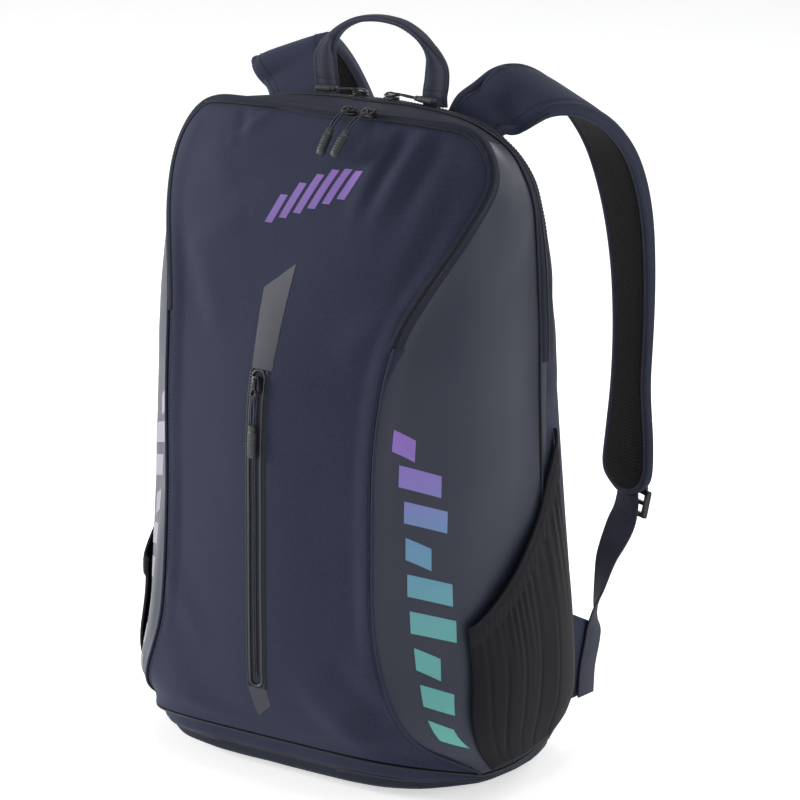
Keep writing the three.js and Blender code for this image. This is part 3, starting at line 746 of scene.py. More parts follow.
def studio():
    back_way = Vector((math.sin(AZIMUTH) * math.cos(ELEVATION), -math.cos(AZIMUTH) * math.cos(ELEVATION),
                       math.sin(ELEVATION)))
    right = Vector((math.cos(AZIMUTH), math.sin(AZIMUTH), 0))
    up = right.cross(-back_way)
    forward = (-back_way + right * AIM_RIGHT + up * AIM_UP).normalized()
    side = forward.cross(up).normalized()
    camera = add_object("camera", bpy.data.cameras.new("camera"))
    axes = Matrix((side, side.cross(forward), -forward)).transposed()
    camera.matrix_world = Matrix.Translation(TARGET + back_way * DISTANCE) @ axes.to_4x4()
    camera.data.sensor_width = SENSOR
    camera.data.lens = LENS
    bpy.context.scene.camera = camera

    world = bpy.data.worlds.new("studio")
    world.use_nodes = True
    background = world.node_tree.nodes["Background"]
    background.inputs["Color"].default_value = (0.97, 0.98, 1.0, 1)
    background.inputs["Strength"].default_value = 0.27
    bpy.context.scene.world = world
    bpy.context.scene.view_settings.view_transform = "Standard"
    for name, place, size, power in LAMPS:
        lamp = add_object(name, bpy.data.lights.new(name, "AREA"))
        lamp.data.shape = "DISK"
        lamp.data.size = size
        lamp.data.energy = power
        lamp.location = place
        lamp.rotation_euler = (Vector((0, -0.03, 0.25)) - Vector(place)).to_track_quat("-Z", "Y").to_euler()

    flat, curve, wall, sides = 14.0, 4.0, 7.0, 64
    turns = np.linspace(0, math.pi / 2, 9)
    reach = np.concatenate([[0.001, 5.0], flat + curve * np.sin(turns), [flat + curve]])
    height = np.concatenate([[0, 0], curve * (1 - np.cos(turns)), [wall]]) - 0.0004
    around = np.linspace(0, 2 * math.pi, sides + 1)
    bowl = [reach[:, None] * np.cos(around), reach[:, None] * np.sin(around), height[:, None] + 0 * around]
    floor = new_object("floor", np.stack(bowl, -1), grid_faces(len(reach), sides + 1, 0, True))
    paint(floor, smooth("floor", (0.8, 0.8, 0.8), 0.9, 0.05, 0.01 * MM, (0.99, 1.01), Specular_IOR_Level=0.1,
                        Emission_Color=(1, 1, 1, 1), Emission_Strength=0.56))


# ---- Cloths of the body ----------------------------------------------------------------------------
CLOTH = {}                       # finished body cloths by name, for the trim that lies on them
SEAM_GAP = 1.2 * MM
# coarse grid across and along, pressure, growth and the most that a point moves
DRAPE_FRONT = (41, 61, 0.4, 0.010, 4 * MM)
DRAPE_SIDE = (25, 57, 0.4, 0.010, 4 * MM)
DRAPE_BACK = (33, 49, 0.3, 0.008, 3 * MM)
DRAPE_PAD = (25, 41, 1.2, 0.010, 2 * MM)
# soft folds: start and end on the cloth, width and height in mm; a dent's height is below 0
FRONT_FOLDS = (
    ((64, -56, 506), (49, -104, 430), 8, 3.2), ((75, -56, 506), (61, -98, 440), 6, -2.2),
    ((90, -53, 506), (66, -102, 428), 8, 3.0), ((103, -54, 500), (86, -94, 436), 7.5, -2.4),
    ((38, -58, 504), (34, -84, 470), 7, -1.4), ((114, -66, 470), (88, -110, 392), 11, 2.3),
    ((-44, -58, 500), (-82, -80, 472), 6, 2.0), ((-77, -56, 504), (-70, -78, 474), 6, -2.2),
    ((-98, -66, 470), (-60, -96, 440), 11, 1.7), ((-40, -104, 428), (-98, -106, 392), 12, 2.3),
    ((-104, -96, 404), (-60, -132, 336), 10, -2.3), ((-84, -110, 396), (-40, -136, 344), 11, 1.3),
    ((100, -110, 380), (60, -135, 335), 12, 2.2), ((30, -150, 92), (105, -135, 40), 11, 3.4),
    ((60, -148, 110), (112, -130, 66), 10, -2.2), ((-95, -135, 150), (-50, -150, 100), 12, 2.0),
)
SIDE_FOLDS = (
    ((150, -30, 300), (120, -100, 330), 12, 1.2), ((150, -20, 400), (140, -60, 375), 12, -1.0),
    ((155, -40, 250), (125, -105, 235), 13, 0.9),
)


def creases(points, folds, side=1):
    """The height of soft folds that stand up along their lines from start to end."""
    total = 0
    for start, end, width, height in folds:
        start, end = mirror(np.array(start), side) * MM, mirror(np.array(end), side) * MM
        line = end - start
        share = np.clip(((points - start) @ line) / (line @ line), 0, 1)
        gap = np.linalg.norm(points - (start + share[..., None] * line), axis=-1)
        bell = np.exp(-((gap / (width * MM)) ** 2))
        total = total + height * MM * bell * np.sin(math.pi * np.clip(share, 0.02, 0.98)) ** 0.6
    return total


def front_cloths():
    low, high = 0.003, CORNER - 0.001
    split = share_at_front(CREASE_Z)
    rows_low, rows_high = 150, 110

    def surface(a, b):
        s = mix(low, high, b)
        return front(mix(-1, 1, a) * (1 - SEAM_GAP / ring("seam", s)[..., 0]), s)

    a, _ = grid(121, rows_low + rows_high)
    rows = np.concatenate([np.linspace(low, split, rows_low), np.linspace(split, high, rows_high + 1)[1:]])
    b = np.broadcast_to(((rows - low) / (high - low))[:, None], a.shape)
    points = surface(a, b)
    shift = slack(surface, a, b, DRAPE_FRONT)
    border, hem = edge_fade(a, b, 0.08), edge_fade(a, b, 0.022)
    # the cloth is held flat along the pocket zip
    off_centre = np.clip(np.abs(points[..., 0]) / (62 * MM), 0, 1)
    in_reach = np.clip((CREASE_Z + 45 * MM - points[..., 2]) / (70 * MM), 0, 1)
    taut = 1 - 0.9 * (0.5 + 0.5 * np.cos(math.pi * off_centre)) * in_reach
    relief = wobble(points, 0.06, 3) * 0.45 * MM * border * taut + creases(points, FRONT_FOLDS) * hem * taut
    outer = points + shift * (border * taut)[..., None] + normals_of(points) * relief[..., None]
    inner = outer - normals_of(outer) * 2.0 * MM
    uv = arc_uv(outer)
    lower, upper = slice(0, rows_low), slice(rows_low - 1, None)
    for name, rows in (("front_lower", lower), ("flap", upper)):
        CLOTH[name] = paint(shell(name, outer[rows], inner[rows], uv[rows]), TWILL, TWILL_BACK)


def side_cloths():
    for word, side in SIDES:
        def surface(a, b):
            return mirror(inside_seams(mix(0.002, SHOULDER, b), a), side)

        def rear_surface(a, b):
            return mirror(rear_gusset(mix(0.002, SHOULDER, b), mix(0.0, 0.97, a)), side)
        a, b = grid(61, 201)
        points = surface(a, b)
        quiet = edge_fade(a, b, 0.1)
        taut = quiet * np.clip((1 - b) / 0.3, 0, 1)
        relief = (wobble(points, 0.09, 11 + side) * 0.35 * MM + creases(points, SIDE_FOLDS, side)) * quiet
        shift = slack(surface, a, b, DRAPE_SIDE) * taut[..., None]
        outer = points + shift + normals_of(points) * relief[..., None]
        made = paint(shell(f"side_{word}", outer, outer - normals_of(outer) * 2.0 * MM), COATED, LINING)
        nodes = (f"side_panel_lower_{word}", f"side_panel_upper_{word}")
        CLOTH[f"side_{word}"] = settle(made, "mouth", "coated_side", *nodes)
        rear = paint(cloth(f"rear_gusset_{word}", rear_surface, 13, 161, seed=5 + side), TWILL, LINING)
        CLOTH[f"rear_{word}"] = settle(rear, "root", "navy_twill", f"rear_gusset_{word}")

    band = cloth("top_band", over_top(inside_seams, SHOULDER), 33, 161, ripple=0.4 * MM, seed=8)
    CLOTH["top_band"] = settle(paint(band, RIBBED, LINING), "front_box", "webbing", "top_gusset")
    rear_top = cloth("rear_band", over_top(lambda s, a: rear_gusset(s, mix(0.0, 0.95, a)), SHOULDER),
                     9, 121, ripple=0.3 * MM, seed=9)
    CLOTH["rear_band"] = settle(paint(rear_top, TWILL, LINING), "root", "navy_twill", "rear_gusset_top")


def stitches(name, path, tree, hold, gap=3.0 * MM):
    made = row_of(name, path, tree, 0.12 * MM, gap, peg(gap * 0.68, 0.55 * MM, 0.5 * MM, 0.6))
    settle(give_uv(paint(made, THREAD)), hold, "navy_twill")


def give_uv(made):
    """Flat UVs from each point's place, for small parts."""
    layer = made.data.uv_layers.new(name="UVMap")
    for loop in made.data.loops:
        x, y, z = made.data.vertices[loop.vertex_index].co
        layer.data[loop.index].uv = (x + y * 0.5, z + y * 0.5)
    return made


# ---- Back: panel, breathable pads, yoke ------------------------------------------------------------
PAD_SCALE = 0.15                 # metres across a unit of reach, near enough for the pads' rims and channels


def pad_on_back(name, node, reach, low, high, height, channels, seed):
    """A padded panel over the back, quilted along the given shares of its width."""
    def surface(a, b):
        return back(mix(*reach, a), mix(low, high, b))
    a, b = grid(61, 121)
    flat = surface(a, b)
    normal = normals_of(flat)
    wide = abs(reach[1] - reach[0]) * PAD_SCALE
    rim = np.minimum(np.minimum(a, 1 - a) * wide, np.minimum(b, 1 - b) * (high - low) * 0.75) / (12 * MM)
    crown = np.clip(rim, 0, 1) ** 0.5
    quilt = np.ones_like(a)
    for share in channels:
        quilt = quilt * (1 - 0.62 * np.exp(-(((a - share) * wide / (3.5 * MM)) ** 2)))
    swell = (0.8 * MM + height * crown * quilt) + wobble(flat, 0.05, seed) * 0.3 * MM * crown
    points = flat + slack(surface, a, b, DRAPE_PAD) * crown[..., None]
    made = shell(name, points + normal * swell[..., None], flat + normal * 0.3 * MM)
    paint(made, MESH, TWILL_BACK)
    settle(made, "root", "spacer_mesh", node)


def back_pieces():
    made = cloth("back_panel_cloth", lambda a, b: back(mix(-0.985, 0.985, a), mix(0.003, CORNER - 0.003, b)),
                 61, 161, 3 * MM, drape=DRAPE_BACK, seed=14)
    settle(paint(made, TWILL, LINING), "root", "navy_twill", "back_panel")
    for word, side in SIDES:
        reach = (side * 0.14, side * 0.86)
        pad_on_back(f"back_cushion_{word}", f"back_pad_{word}", reach, 0.2, 0.66, 7.5 * MM, (0.33, 0.67), 20 + side)
    pad_on_back("lumbar_cushion", "lumbar_pad", (-0.86, 0.86), 0.03, 0.185, 9.5 * MM, (0.25, 0.5, 0.75), 24)
    yoke = cloth("yoke_cloth", lambda a, b: back(mix(-0.8, 0.8, a), mix(0.675, 0.735, b)),
                 61, 17, 3 * MM, lift=3.3 * MM, ripple=0.3 * MM, seed=25)
    settle(paint(yoke, TWILL, TWILL), "root", "navy_twill", "strap_yoke")
    for k, share in enumerate((0.682, 0.728)):
        line = back(np.linspace(-0.77, 0.77, 80), np.full(80, share))
        stitches(f"yoke_stitches_{k}", line, tree_of(yoke), "root", 3.2 * MM)


# ---- Base ------------------------------------------------------------------------------------------
# height shares of the base tray, and how far in it is there, from 0 at the body's edge to 1 under the floor
BASE_PROFILE = (
    (0.0, 0.08, 0.25, 0.5, 0.55, 0.62, 0.86, 0.93, 1.0),
    (1.0, 0.62, 0.40, 0.30, 0.26, 0.20, 0.16, 0.10, 0.02),
)
BASE_POINTS = 320                # round the tray's edge
BASE_FLOOR = 3 * MM
BASE_MIDDLE = np.array([0, -37 * MM, 0])
BASE_SEAM = 0.56                 # share of the tray's height


def base_edge(count):
    """The bottom edge of the body, all the way round, evenly spaced."""
    half = np.vstack([
        front(np.linspace(0, 1, 60), np.zeros(60)),
        gusset(np.zeros(40), np.linspace(1, 0, 40))[1:],
        rear_gusset(np.zeros(12), np.linspace(0, 1, 12))[1:],
        back(np.linspace(1, 0, 60), np.zeros(60))[1:],
    ])
    whole = np.vstack([half, mirror(half[::-1], -1)[1:-1], half[:1]])
    return even(whole, count=count + 1)[:-1]


def base_piece():
    edge = base_edge(BASE_POINTS)

    def ring_at(share, height, grow=0.0):
        """The tray's outline at a share of its height: stepped in under the body, then rounded below."""
        inward = np.interp(share, *BASE_PROFILE)
        x = edge[:, 0] * (1 - 0.185 * inward + grow)
        y = edge[:, 1] * (1 - np.where(edge[:, 1] < 0, 0.34, 0.38) * inward + grow)
        return np.stack([x, y, height], -1)
    tall = edge[:, 2] - 1 * MM
    outer = [ring_at(share, np.maximum(0, tall * share)) for share in np.linspace(0, 1, 22) ** 1.3]
    outer = [mix(BASE_MIDDLE, outer[0], share) for share in (0.02, 0.35, 0.7, 0.92)] + outer
    inner = [ring_at(share, mix(BASE_FLOOR, tall, share)) * (0.975, 0.975, 1)
             for share in np.linspace(0, 1, 10) ** 1.3]
    inner = [mix(BASE_MIDDLE + UP * BASE_FLOOR, inner[0], share) for share in (0.02, 0.5)] + inner
    rings = np.array(outer + inner[::-1])
    ripple = wobble(rings, 0.035, 31) * 0.35 * MM * (rings[..., 2] > 2 * MM)
    rings[:len(outer), :, :2] *= (1 + ripple[:len(outer), :, None] / 0.15)
    faces, ends = tube_faces(len(rings), BASE_POINTS)
    around = np.broadcast_to(np.linspace(0, 1, BASE_POINTS), rings.shape[:2])
    uv = np.stack([around, np.cumsum(np.full(rings.shape[:2], 3 * MM), 0)], -1)
    made = new_object("base_cloth", rings, faces + ends, uv)
    outward(made)
    paint(made, BASE, TWILL)
    centres = [f.center for f in made.data.polygons]
    upper = [int(c.z > BASE_SEAM * (np.interp(abs(c.x), (0, 0.15), (35, 17)) * MM)) for c in centres]
    made.data.polygons.foreach_set("material_index", upper)
    settle(made, "root", "base_fabric", "base_tray")

    for name, share, grow, radius in (("base_piping", 0.985, 0.002, 0.9 * MM),
                                      ("base_seam", BASE_SEAM, 0.001, 0.8 * MM)):
        path = closed(ring_at(share, np.maximum(radius, tall * share), grow))
        settle(paint(sweep(name, path, UP, circle(radius), False), FILM), "root", "base_fabric")
    # a tape inside the bottom edge closes the slit above the tray
    inward = unit(np.cross(np.roll(edge, -1, 0) - np.roll(edge, 1, 0), UP))
    inward *= np.sign((inward * (BASE_MIDDLE - edge) * (1, 1, 0)).sum())
    hidden = closed(edge + inward * 3.4 * MM + UP * 1.5 * MM)
    tape = sweep("base_tape", hidden, UP, oblong(10 * MM, 1.2 * MM, 0.5 * MM, 2), False)
    settle(paint(tape, BASE), "root", "base_fabric")
    line = closed(ring_at(0.66, tall * 0.66, 0.002))
    row = row_of("base_stitches", line, tree_of(made), 0.15 * MM, 3.2 * MM, peg(2.2 * MM, 0.5 * MM, 0.5 * MM))
    settle(give_uv(paint(row, THREAD)), "root", "base_fabric")


# ---- Inside ----------------------------------------------------------------------------------------
def inner_pieces():
    def wall(a, b):
        z = mix(30 * MM, 478 * MM, b)
        half_width = gusset(share_at("zip", np.minimum(z, 484 * MM)), 0.45)[..., 0] - 12 * MM
        y = -74 * MM + 34 * MM * np.clip((z - 300 * MM) / (190 * MM), 0, 1) ** 1.5
        return np.stack([mix(-1, 1, a) * half_width, y, z], -1)

    def sleeve(a, b):
        return back(mix(-0.8, 0.8, a), mix(0.08, 0.53, b)) - BACK * 30 * MM
    behind = np.array([0, 0.2, 0.26])
    divider = cloth("divider", wall, 41, 91, 5 * MM, seed=41, core=behind)
    settle(paint(divider, LINING, LINING), "mouth", "lining", "divider_lower", "divider_upper")
    padded = cloth("laptop_sleeve_cloth", sleeve, 31, 61, 5 * MM, ripple=0.4 * MM, seed=42)
    settle(paint(padded, LINING, LINING), "root", "lining", "laptop_sleeve")
    paint(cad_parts["back_stiffener"], BOARD)


# ---- Side pockets ----------------------------------------------------------------------------------
POCKET_HEM = np.array([262, 238, 204, 183, 166, 153, 143, 135])[:, None] * MM
POCKET_FRONT = np.array([0.85, 0.6, 0.555, 0.59])[:, None]
POCKET_REAR = np.array([0.85, 0.87, 0.78, 0.33])[:, None]
REAR_WIDTH = 0.3
HEM_BAND = (0.93, 1.02)
# soft folds that run down the mesh: place along the hem, slant, width, depth in mm
POCKET_FOLDS = (
    (0.88, -0.06, 0.016, 1.0), (0.69, 0.06, 0.018, 1.1), (0.55, 0.05, 0.015, 0.5), (0.42, 0.05, 0.016, 0.6),
    (0.27, 0.03, 0.014, 0.4),
)


def pocket_place(a, b, side):
    """The side and the rear gusset as one surface, between the pocket's slanting edges."""
    reach = np.clip(b, 0, 1)
    t = mix(-REAR_WIDTH * through(POCKET_REAR, reach)[..., 0], through(POCKET_FRONT, reach)[..., 0], a)
    s = mix(0.004, share_at("zip", through(POCKET_HEM, a)[..., 0]), b)
    behind = rear_gusset(s, np.maximum(0, -t) / REAR_WIDTH)
    return mirror(np.where(t[..., None] < 0, behind, gusset(s, np.maximum(0, t))), side)


def pockets():
    for word, side in SIDES:
        a, b = grid(161, 141)
        points = pocket_place(a, b * 0.965, side)
        normal = normals_of(points)
        rise = np.clip(np.minimum(np.minimum(a, 1 - a) / 0.09, b / 0.06), 0, 1) ** 0.5
        near_hem = np.clip((b - 0.35) / 0.65, 0, 1)
        phase = 2 * math.pi * (a * 17 + 0.35 * np.sin(a * 11) + 0.06 * np.sin(b * 4 + a * 7))
        gather = np.sin(phase) * (0.3 + 0.7 * np.sin(a * 6.3 + 1) ** 2)
        pleats = gather * MM * near_hem ** 3.4
        for place, slant, wide, deep in POCKET_FOLDS:
            gap = a - place - slant * (1 - b)
            pleats = pleats - deep * MM * np.exp(-((gap / wide) ** 2)) * np.sin(math.pi * (0.15 + 0.8 * b))
        outer = points + normal * (mix(0.9 * MM, 3.6 * MM, rise) + pleats * rise)[..., None]
        made = paint(shell(f"pocket_mesh_{word}", outer, outer - normal * 1.1 * MM), STRETCH, STRETCH)
        settle(made, "root", "stretch_mesh", f"side_pocket_{word}")

        a, b = grid(201, 9)
        hem = pocket_place(a, mix(*HEM_BAND, b), side)
        normal = normals_of(hem)
        scallop = np.sin(2 * math.pi * a * 22) * 0.25 * MM * (1 - b)
        bulge = 0.6 * MM * np.sin(math.pi * b)
        tuck = np.clip(np.minimum(a, 1 - a) / 0.05, 0, 1) ** 0.5
        top = hem + normal * (mix(1.6 * MM, 4.8 * MM, tuck) + scallop + bulge)[..., None]
        band = paint(shell(f"pocket_band_{word}", top, top - normal * 1.9 * MM), ELASTIC, ELASTIC)
        settle(band, "root", "elastic", f"pocket_hem_{word}")
        tree = tree_of(band)
        for k, share in enumerate((0.945, 0.985)):
            line = pocket_place(np.linspace(0.02, 0.98, 120), np.full(120, share), side)
            stitches(f"pocket_stitches_{word}_{k}", line, tree, "root", 2.6 * MM)


# ---- Zips ------------------------------------------------------------------------------------------
BODY_CLOTHS = ("side_left", "side_right", "top_band")
REAR_CLOTHS = ("rear_left", "rear_right", "rear_band")
FLAP_MIDDLE = np.array([0, -0.12, 0.42])
TAPE_START = 0.4 * MM            # from the zip's line to its tape


def cloth_tree(*names):
    return tree_of(*[CLOTH[name] for name in names])


def arch_path(name, low):
    """The named ring from a low point on the left, over the top, to the low point on the right."""
    way = np.linspace(-1, 1, 400)
    return even(to_side(ring(name, mix(1, low, np.abs(way))), way), 4 * MM)


def sideways(path, toward):
    """Unit directions from a path towards a point or along a vector, square to the path."""
    run = unit(np.gradient(path, axis=0))
    return unit(toward - run * (toward * run).sum(1, keepdims=True))


def strip(name, path, way, offsets, tree, lift, thick):
    """A narrow tape laid on a cloth beside a path."""
    outer, inner = [], []
    for offset, high in zip(offsets, np.broadcast_to(lift, len(offsets))):
        places, ups = snap(path + way * offset, tree, 0)
        for _ in range(6):
            ups[1:-1] = (ups[:-2] + ups[2:] + 2 * ups[1:-1]) / 4
            places[1:-1] = (places[:-2] + places[2:] + 6 * places[1:-1]) / 8
        outer.append(places + ups * high)
        inner.append(places + ups * (high - thick))
    return shell(name, np.stack(outer, 1), np.stack(inner, 1))


def teeth(name, path, tree, hold, lift, pitch):
    made = row_of(name, path, tree, lift, pitch, peg(pitch * 0.62, 1.6 * MM, 1.1 * MM))
    settle(give_uv(paint(made, TEETH)), hold, "zip_tape")


def zip_side(name, path, toward, cloths, hold, node, width):
    """One half of a zip: tape with a folded edge, its teeth and its stitches."""
    tree = cloth_tree(*cloths)
    way = sideways(path, toward)
    lifts = np.array([0.9, 1.3, 1.35, 1.3, 1.2, 0.9]) * MM
    tape = strip(name, path, way, TAPE_START + np.linspace(0, 1, 6) * width, tree, lifts, 1.1 * MM)
    settle(paint(tape, TAPE, TAPE), hold, "zip_tape", node)
    teeth(f"{name}_teeth", path + way * (0.2 * MM), tree, hold, 1.2 * MM, 1.5 * MM)
    line = path + way * (TAPE_START + width - 1.6 * MM)
    stitches(f"{name}_stitches", line, tree_of(tape), hold, 2.8 * MM)


def zips():
    main = arch_path("zip", share_at("zip", ZIP_END_Z))
    zip_side("main_zip_rear_tape", main, BACK, REAR_CLOTHS, "root", "main_zip_rear", 6.5 * MM)
    zip_side("main_zip_front_tape", main, -BACK, BODY_CLOTHS, "mouth", "main_zip_front", 6.5 * MM)
    seam = arch_path("seam", share_at("seam", FRONT_ZIP_END_Z))
    zip_side("front_zip_body_tape", seam, BACK, BODY_CLOTHS, "front_box", "front_zip_body", 7.5 * MM)

    # the rolled edge of the body beside the front zip, which hides the teeth
    along = lengths(seam)
    size = np.clip(np.minimum(along, along[-1] - along) / (16 * MM), 0.4, 1)[:, None, None]
    section = oblong(6.6 * MM, 3.2 * MM, 1.5 * MM, 5) + np.array([2.7, 1.1]) * MM
    welt = sweep("front_zip_welt", seam, sideways(seam, BACK), section * size)
    settle(paint(welt, TAPE), "front_box", "zip_tape")
    toward = FLAP_MIDDLE - seam
    section = oblong(5.4 * MM, 2.2 * MM, 1.0 * MM) + np.array([1.5, 0]) * MM
    coil = sweep("front_zip_coil", seam, sideways(seam, toward), section)
    settle(paint(coil, TAPE), "crease", "zip_tape")
    zip_side("front_zip_flap_tape", seam, toward, ("flap",), "crease", "front_zip_flap", 3.0 * MM)


def zip_tabs():
    """The narrow triangle of navy cloth on each side below the end of the front zip."""
    for word, side in SIDES:
        shares = np.linspace(share_at("seam", 312 * MM), share_at("seam", FRONT_ZIP_END_Z + 1 * MM), 24)
        line = mirror(ring("seam", shares), side)
        away = sideways(line, BACK)
        reach = np.linspace(0.8, 10, 24)[:, None] * MM
        tree = cloth_tree(f"side_{word}")
        outer, inner = [], []
        for k, share in enumerate(np.linspace(0.06, 1, 6)):
            places, ups = snap(line + away * reach * share, tree, 0)
            outer.append(places + ups * (0.9 if k else 0.3) * MM)
            inner.append(places - ups * 0.2 * MM)
        tab = shell(f"zip_tab_{word}", np.stack(outer, 1), np.stack(inner, 1))
        settle(paint(tab, TWILL, TWILL), "mouth", "navy_twill")


def piping():
    way = np.linspace(-1, 1, 500)
    share = mix(1, 0.006, np.abs(way))
    edge = even(to_side(gusset(share, 7.6 * MM / gusset_length(share)), way), 3 * MM)
    body, lower = cloth_tree(*BODY_CLOTHS), cloth_tree("front_lower")
    places, _ = snap(edge, body, 0.75 * MM)
    settle(paint(sweep("zip_edge_cord", places, BACK, circle(1.05 * MM)), FILM), "mouth", "piping")
    # known fault: the right facing is laid on the front cloth, so it is only a sliver along the seam
    facing_on = {"left": body, "right": lower}
    for word, side in SIDES:
        share = np.linspace(0.004, share_at("zip", ZIP_END_Z - 1 * MM), 90)
        line = even(mirror(ring("zip", share), side), 3 * MM)
        lifts = np.array([0.3, 0.8, 0.9, 0.9, 0.6]) * MM
        facing = strip(f"zip_facing_{word}", line, sideways(line, -BACK), np.linspace(0, 7, 5) * MM,
                       facing_on[word], lifts, 0.7 * MM)
        settle(paint(facing, TWILL, TWILL), "mouth", "navy_twill")
        shares = np.linspace(0.004, share_at("seam", FRONT_ZIP_END_Z), 120)
        path = mirror(ring("seam", shares), side) + np.array([side * 0.7, -0.7, 0]) * MM
        cord = sweep(f"seam_cord_{word}", even(path, 3 * MM), (side, -1, 0), circle(1.1 * MM))
        settle(paint(cord, BINDING), "mouth", "piping", f"front_piping_{word}")
        line = (path + sideways(path, RIGHT * -side) * 4.2 * MM)[:-2]
        stitches(f"seam_stitches_{word}", line, lower, "mouth")


def window_edge(half, low, high, radius):
    """A long closed loop with round corners on the front."""
    outline = closed(round_corners(half, (high - low) / 2, radius, 6)) + (0, (low + high) / 2)
    return on_front(*even(outline, count=400).T)


def pocket_zip():
    """The short zip down the middle of the front, in a window of bonded film."""
    low, high = 80 * MM, 321.5 * MM
    line = on_front(np.zeros(160), np.linspace(low - 1.5 * MM, high, 160))
    tree = cloth_tree("front_lower")
    offsets = np.linspace(-5.4, 5.4, 9) * MM
    slit = strip("pocket_zip_tape", line[2:-1], RIGHT, offsets, tree, 0.3 * MM, 0.5 * MM)
    settle(paint(slit, TAPE, TAPE), "root", "zip_tape", "pocket_zip")
    rim, ups = snap(window_edge(5.4 * MM, low, high, 4.4 * MM), tree, 0.75 * MM)
    edge = sweep("pocket_zip_window", rim, np.cross(np.gradient(rim, axis=0), ups), circle(0.85 * MM), False)
    settle(paint(edge, FILM_EDGE), "root", "zip_tape")
    for k, way in enumerate((-1, 1)):
        offsets = np.array([5.6, 6.0, 7.4, 8.6, 8.9]) * MM * way
        lifts = np.array([0.5, 0.7, 0.65, 0.5, 0.2]) * MM
        film = strip(f"pocket_zip_film_{k}", line, RIGHT, offsets, tree, lifts, 0.8 * MM)
        settle(paint(film, FILM, FILM), "root", "zip_tape")
        stitches(f"pocket_zip_stitches_{k}", line + RIGHT * way * 7.6 * MM, tree_of(film), "root", 2.4 * MM)
        beside = (line + RIGHT * way * 0.85 * MM)[6:-4]
        teeth(f"pocket_zip_teeth_{k}", beside, tree, "root", 0.6 * MM, 1.4 * MM)


# ---- Sliders and pulls -----------------------------------------------------------------------------
MAIN_SLIDER_X = {"left": -9, "right": 18}
# how far to the side each front slider sits, and how far the end of its grip hangs to one side of it
FRONT_SLIDER = {"left": (19, -2), "right": (36, -7)}


def from_bmesh(name, mesh):
    data = bpy.data.meshes.new(name)
    mesh.to_mesh(data)
    mesh.free()
    data.polygons.foreach_set("use_smooth", [True] * len(data.polygons))
    return give_uv(make_flat(add_object(name, data), 40))


def plate(name, outline, low, high, bevel):
    """A flat plate between two heights with softened edges."""
    mesh = bmesh.new()
    bottom, top = [[mesh.verts.new((x, y, z)) for x, y in outline] for z in (low, high)]
    mesh.faces.new(bottom[::-1])
    mesh.faces.new(top)
    for i in range(len(outline)):
        j = (i + 1) % len(outline)
        mesh.faces.new((bottom[i], bottom[j], top[j], top[i]))
    bmesh.ops.bevel(mesh, geom=list(mesh.edges), offset=bevel, segments=2, profile=0.6, affect="EDGES")
    bmesh.ops.recalc_face_normals(mesh, faces=mesh.faces)
    return from_bmesh(name, mesh)


def rounded(length, width, nose=0.0):
    """Outline of a rounded rectangle whose front end narrows by "nose"."""
    return round_corners(length / 2, width / 2, min(length, width) * 0.25, 5, nose)


def placed(made, at, run, up):
    """Moves a piece made at the origin: its x along "run", its z towards "up"."""
    x = unit(np.array(run, float))
    z = np.array(up, float)
    z = unit(z - x * (z @ x))
    y = np.cross(z, x)
    made.data.transform(Matrix([(x[k], y[k], z[k], at[k]) for k in range(3)] + [(0, 0, 0, 1)]))
    return made


def slider(name, body, at, run, up):
    """A zip slider: two plates, the post between them and the bridge for the pull."""
    outline = rounded(12 * MM, 8.5 * MM, 0.3)
    parts = [
        plate(f"{name}_lower", outline, -0.6 * MM, 0.9 * MM, 0.3 * MM),
        plate(f"{name}_upper", outline * (0.97, 1), 2.0 * MM, 3.1 * MM, 0.45 * MM),
        plate(f"{name}_post", outline * (0.45, 0.3) + (2.5 * MM, 0), 0.8 * MM, 2.2 * MM, 0.1 * MM),
    ]
    flanges = []
    for k, way in enumerate((-1, 1)):
        beside = outline * (0.55, 0.09) + (-2 * MM, way * 3.7 * MM)
        flanges.append(plate(f"{name}_flange{k}", beside, 1.3 * MM, 2.3 * MM, 0.15 * MM))
    turn = np.linspace(0, math.pi, 13)
    arch = np.stack([np.cos(turn) * 4.2 * MM, np.zeros(13), 2.6 * MM + np.sin(turn) ** 0.7 * 1.9 * MM], -1)
    bridge = make_flat(sweep(f"{name}_bridge", arch, BACK, oblong(2.6 * MM, 1.1 * MM, 0.4 * MM)))
    parts += [bridge, *flanges]
    for part in parts:
        paint(part, METAL)
    made = placed(join(name, parts), np.array(at) * MM, run, up)
    settle(made, body, "slider_metal", body)


def from_profile(name, path, across, share, span, width, thick, count=14):
    """A rounded bar along part of a path with half width and half thickness varying along it."""
    at, t = np.linspace(*span, count), np.linspace(0, 1, count)
    points, way = [np.stack([np.interp(at, share, column) for column in field.T], -1) for field in (path, across)]
    sections = squared(16, 0.62) * np.stack([width(t), thick(t)], -1)[:, None]
    return paint(sweep(name, points, way, sections), RUBBER)


def grip_width(t):
    ends = np.clip(np.minimum(t / 0.10, (1 - t) / 0.08), 0, 1) ** 0.5
    return (1.3 + 2.1 * ends) * MM


def grip_thick(t):
    ends = np.clip(np.minimum(t / 0.12, (1 - t) / 0.10), 0, 1) ** 0.5
    ribs = 0.22 * np.maximum(0, np.sin(t * 2 * math.pi * 9)) * (t > 0.2) * (t < 0.85)
    return (0.9 + 1.45 * ends + ribs) * MM


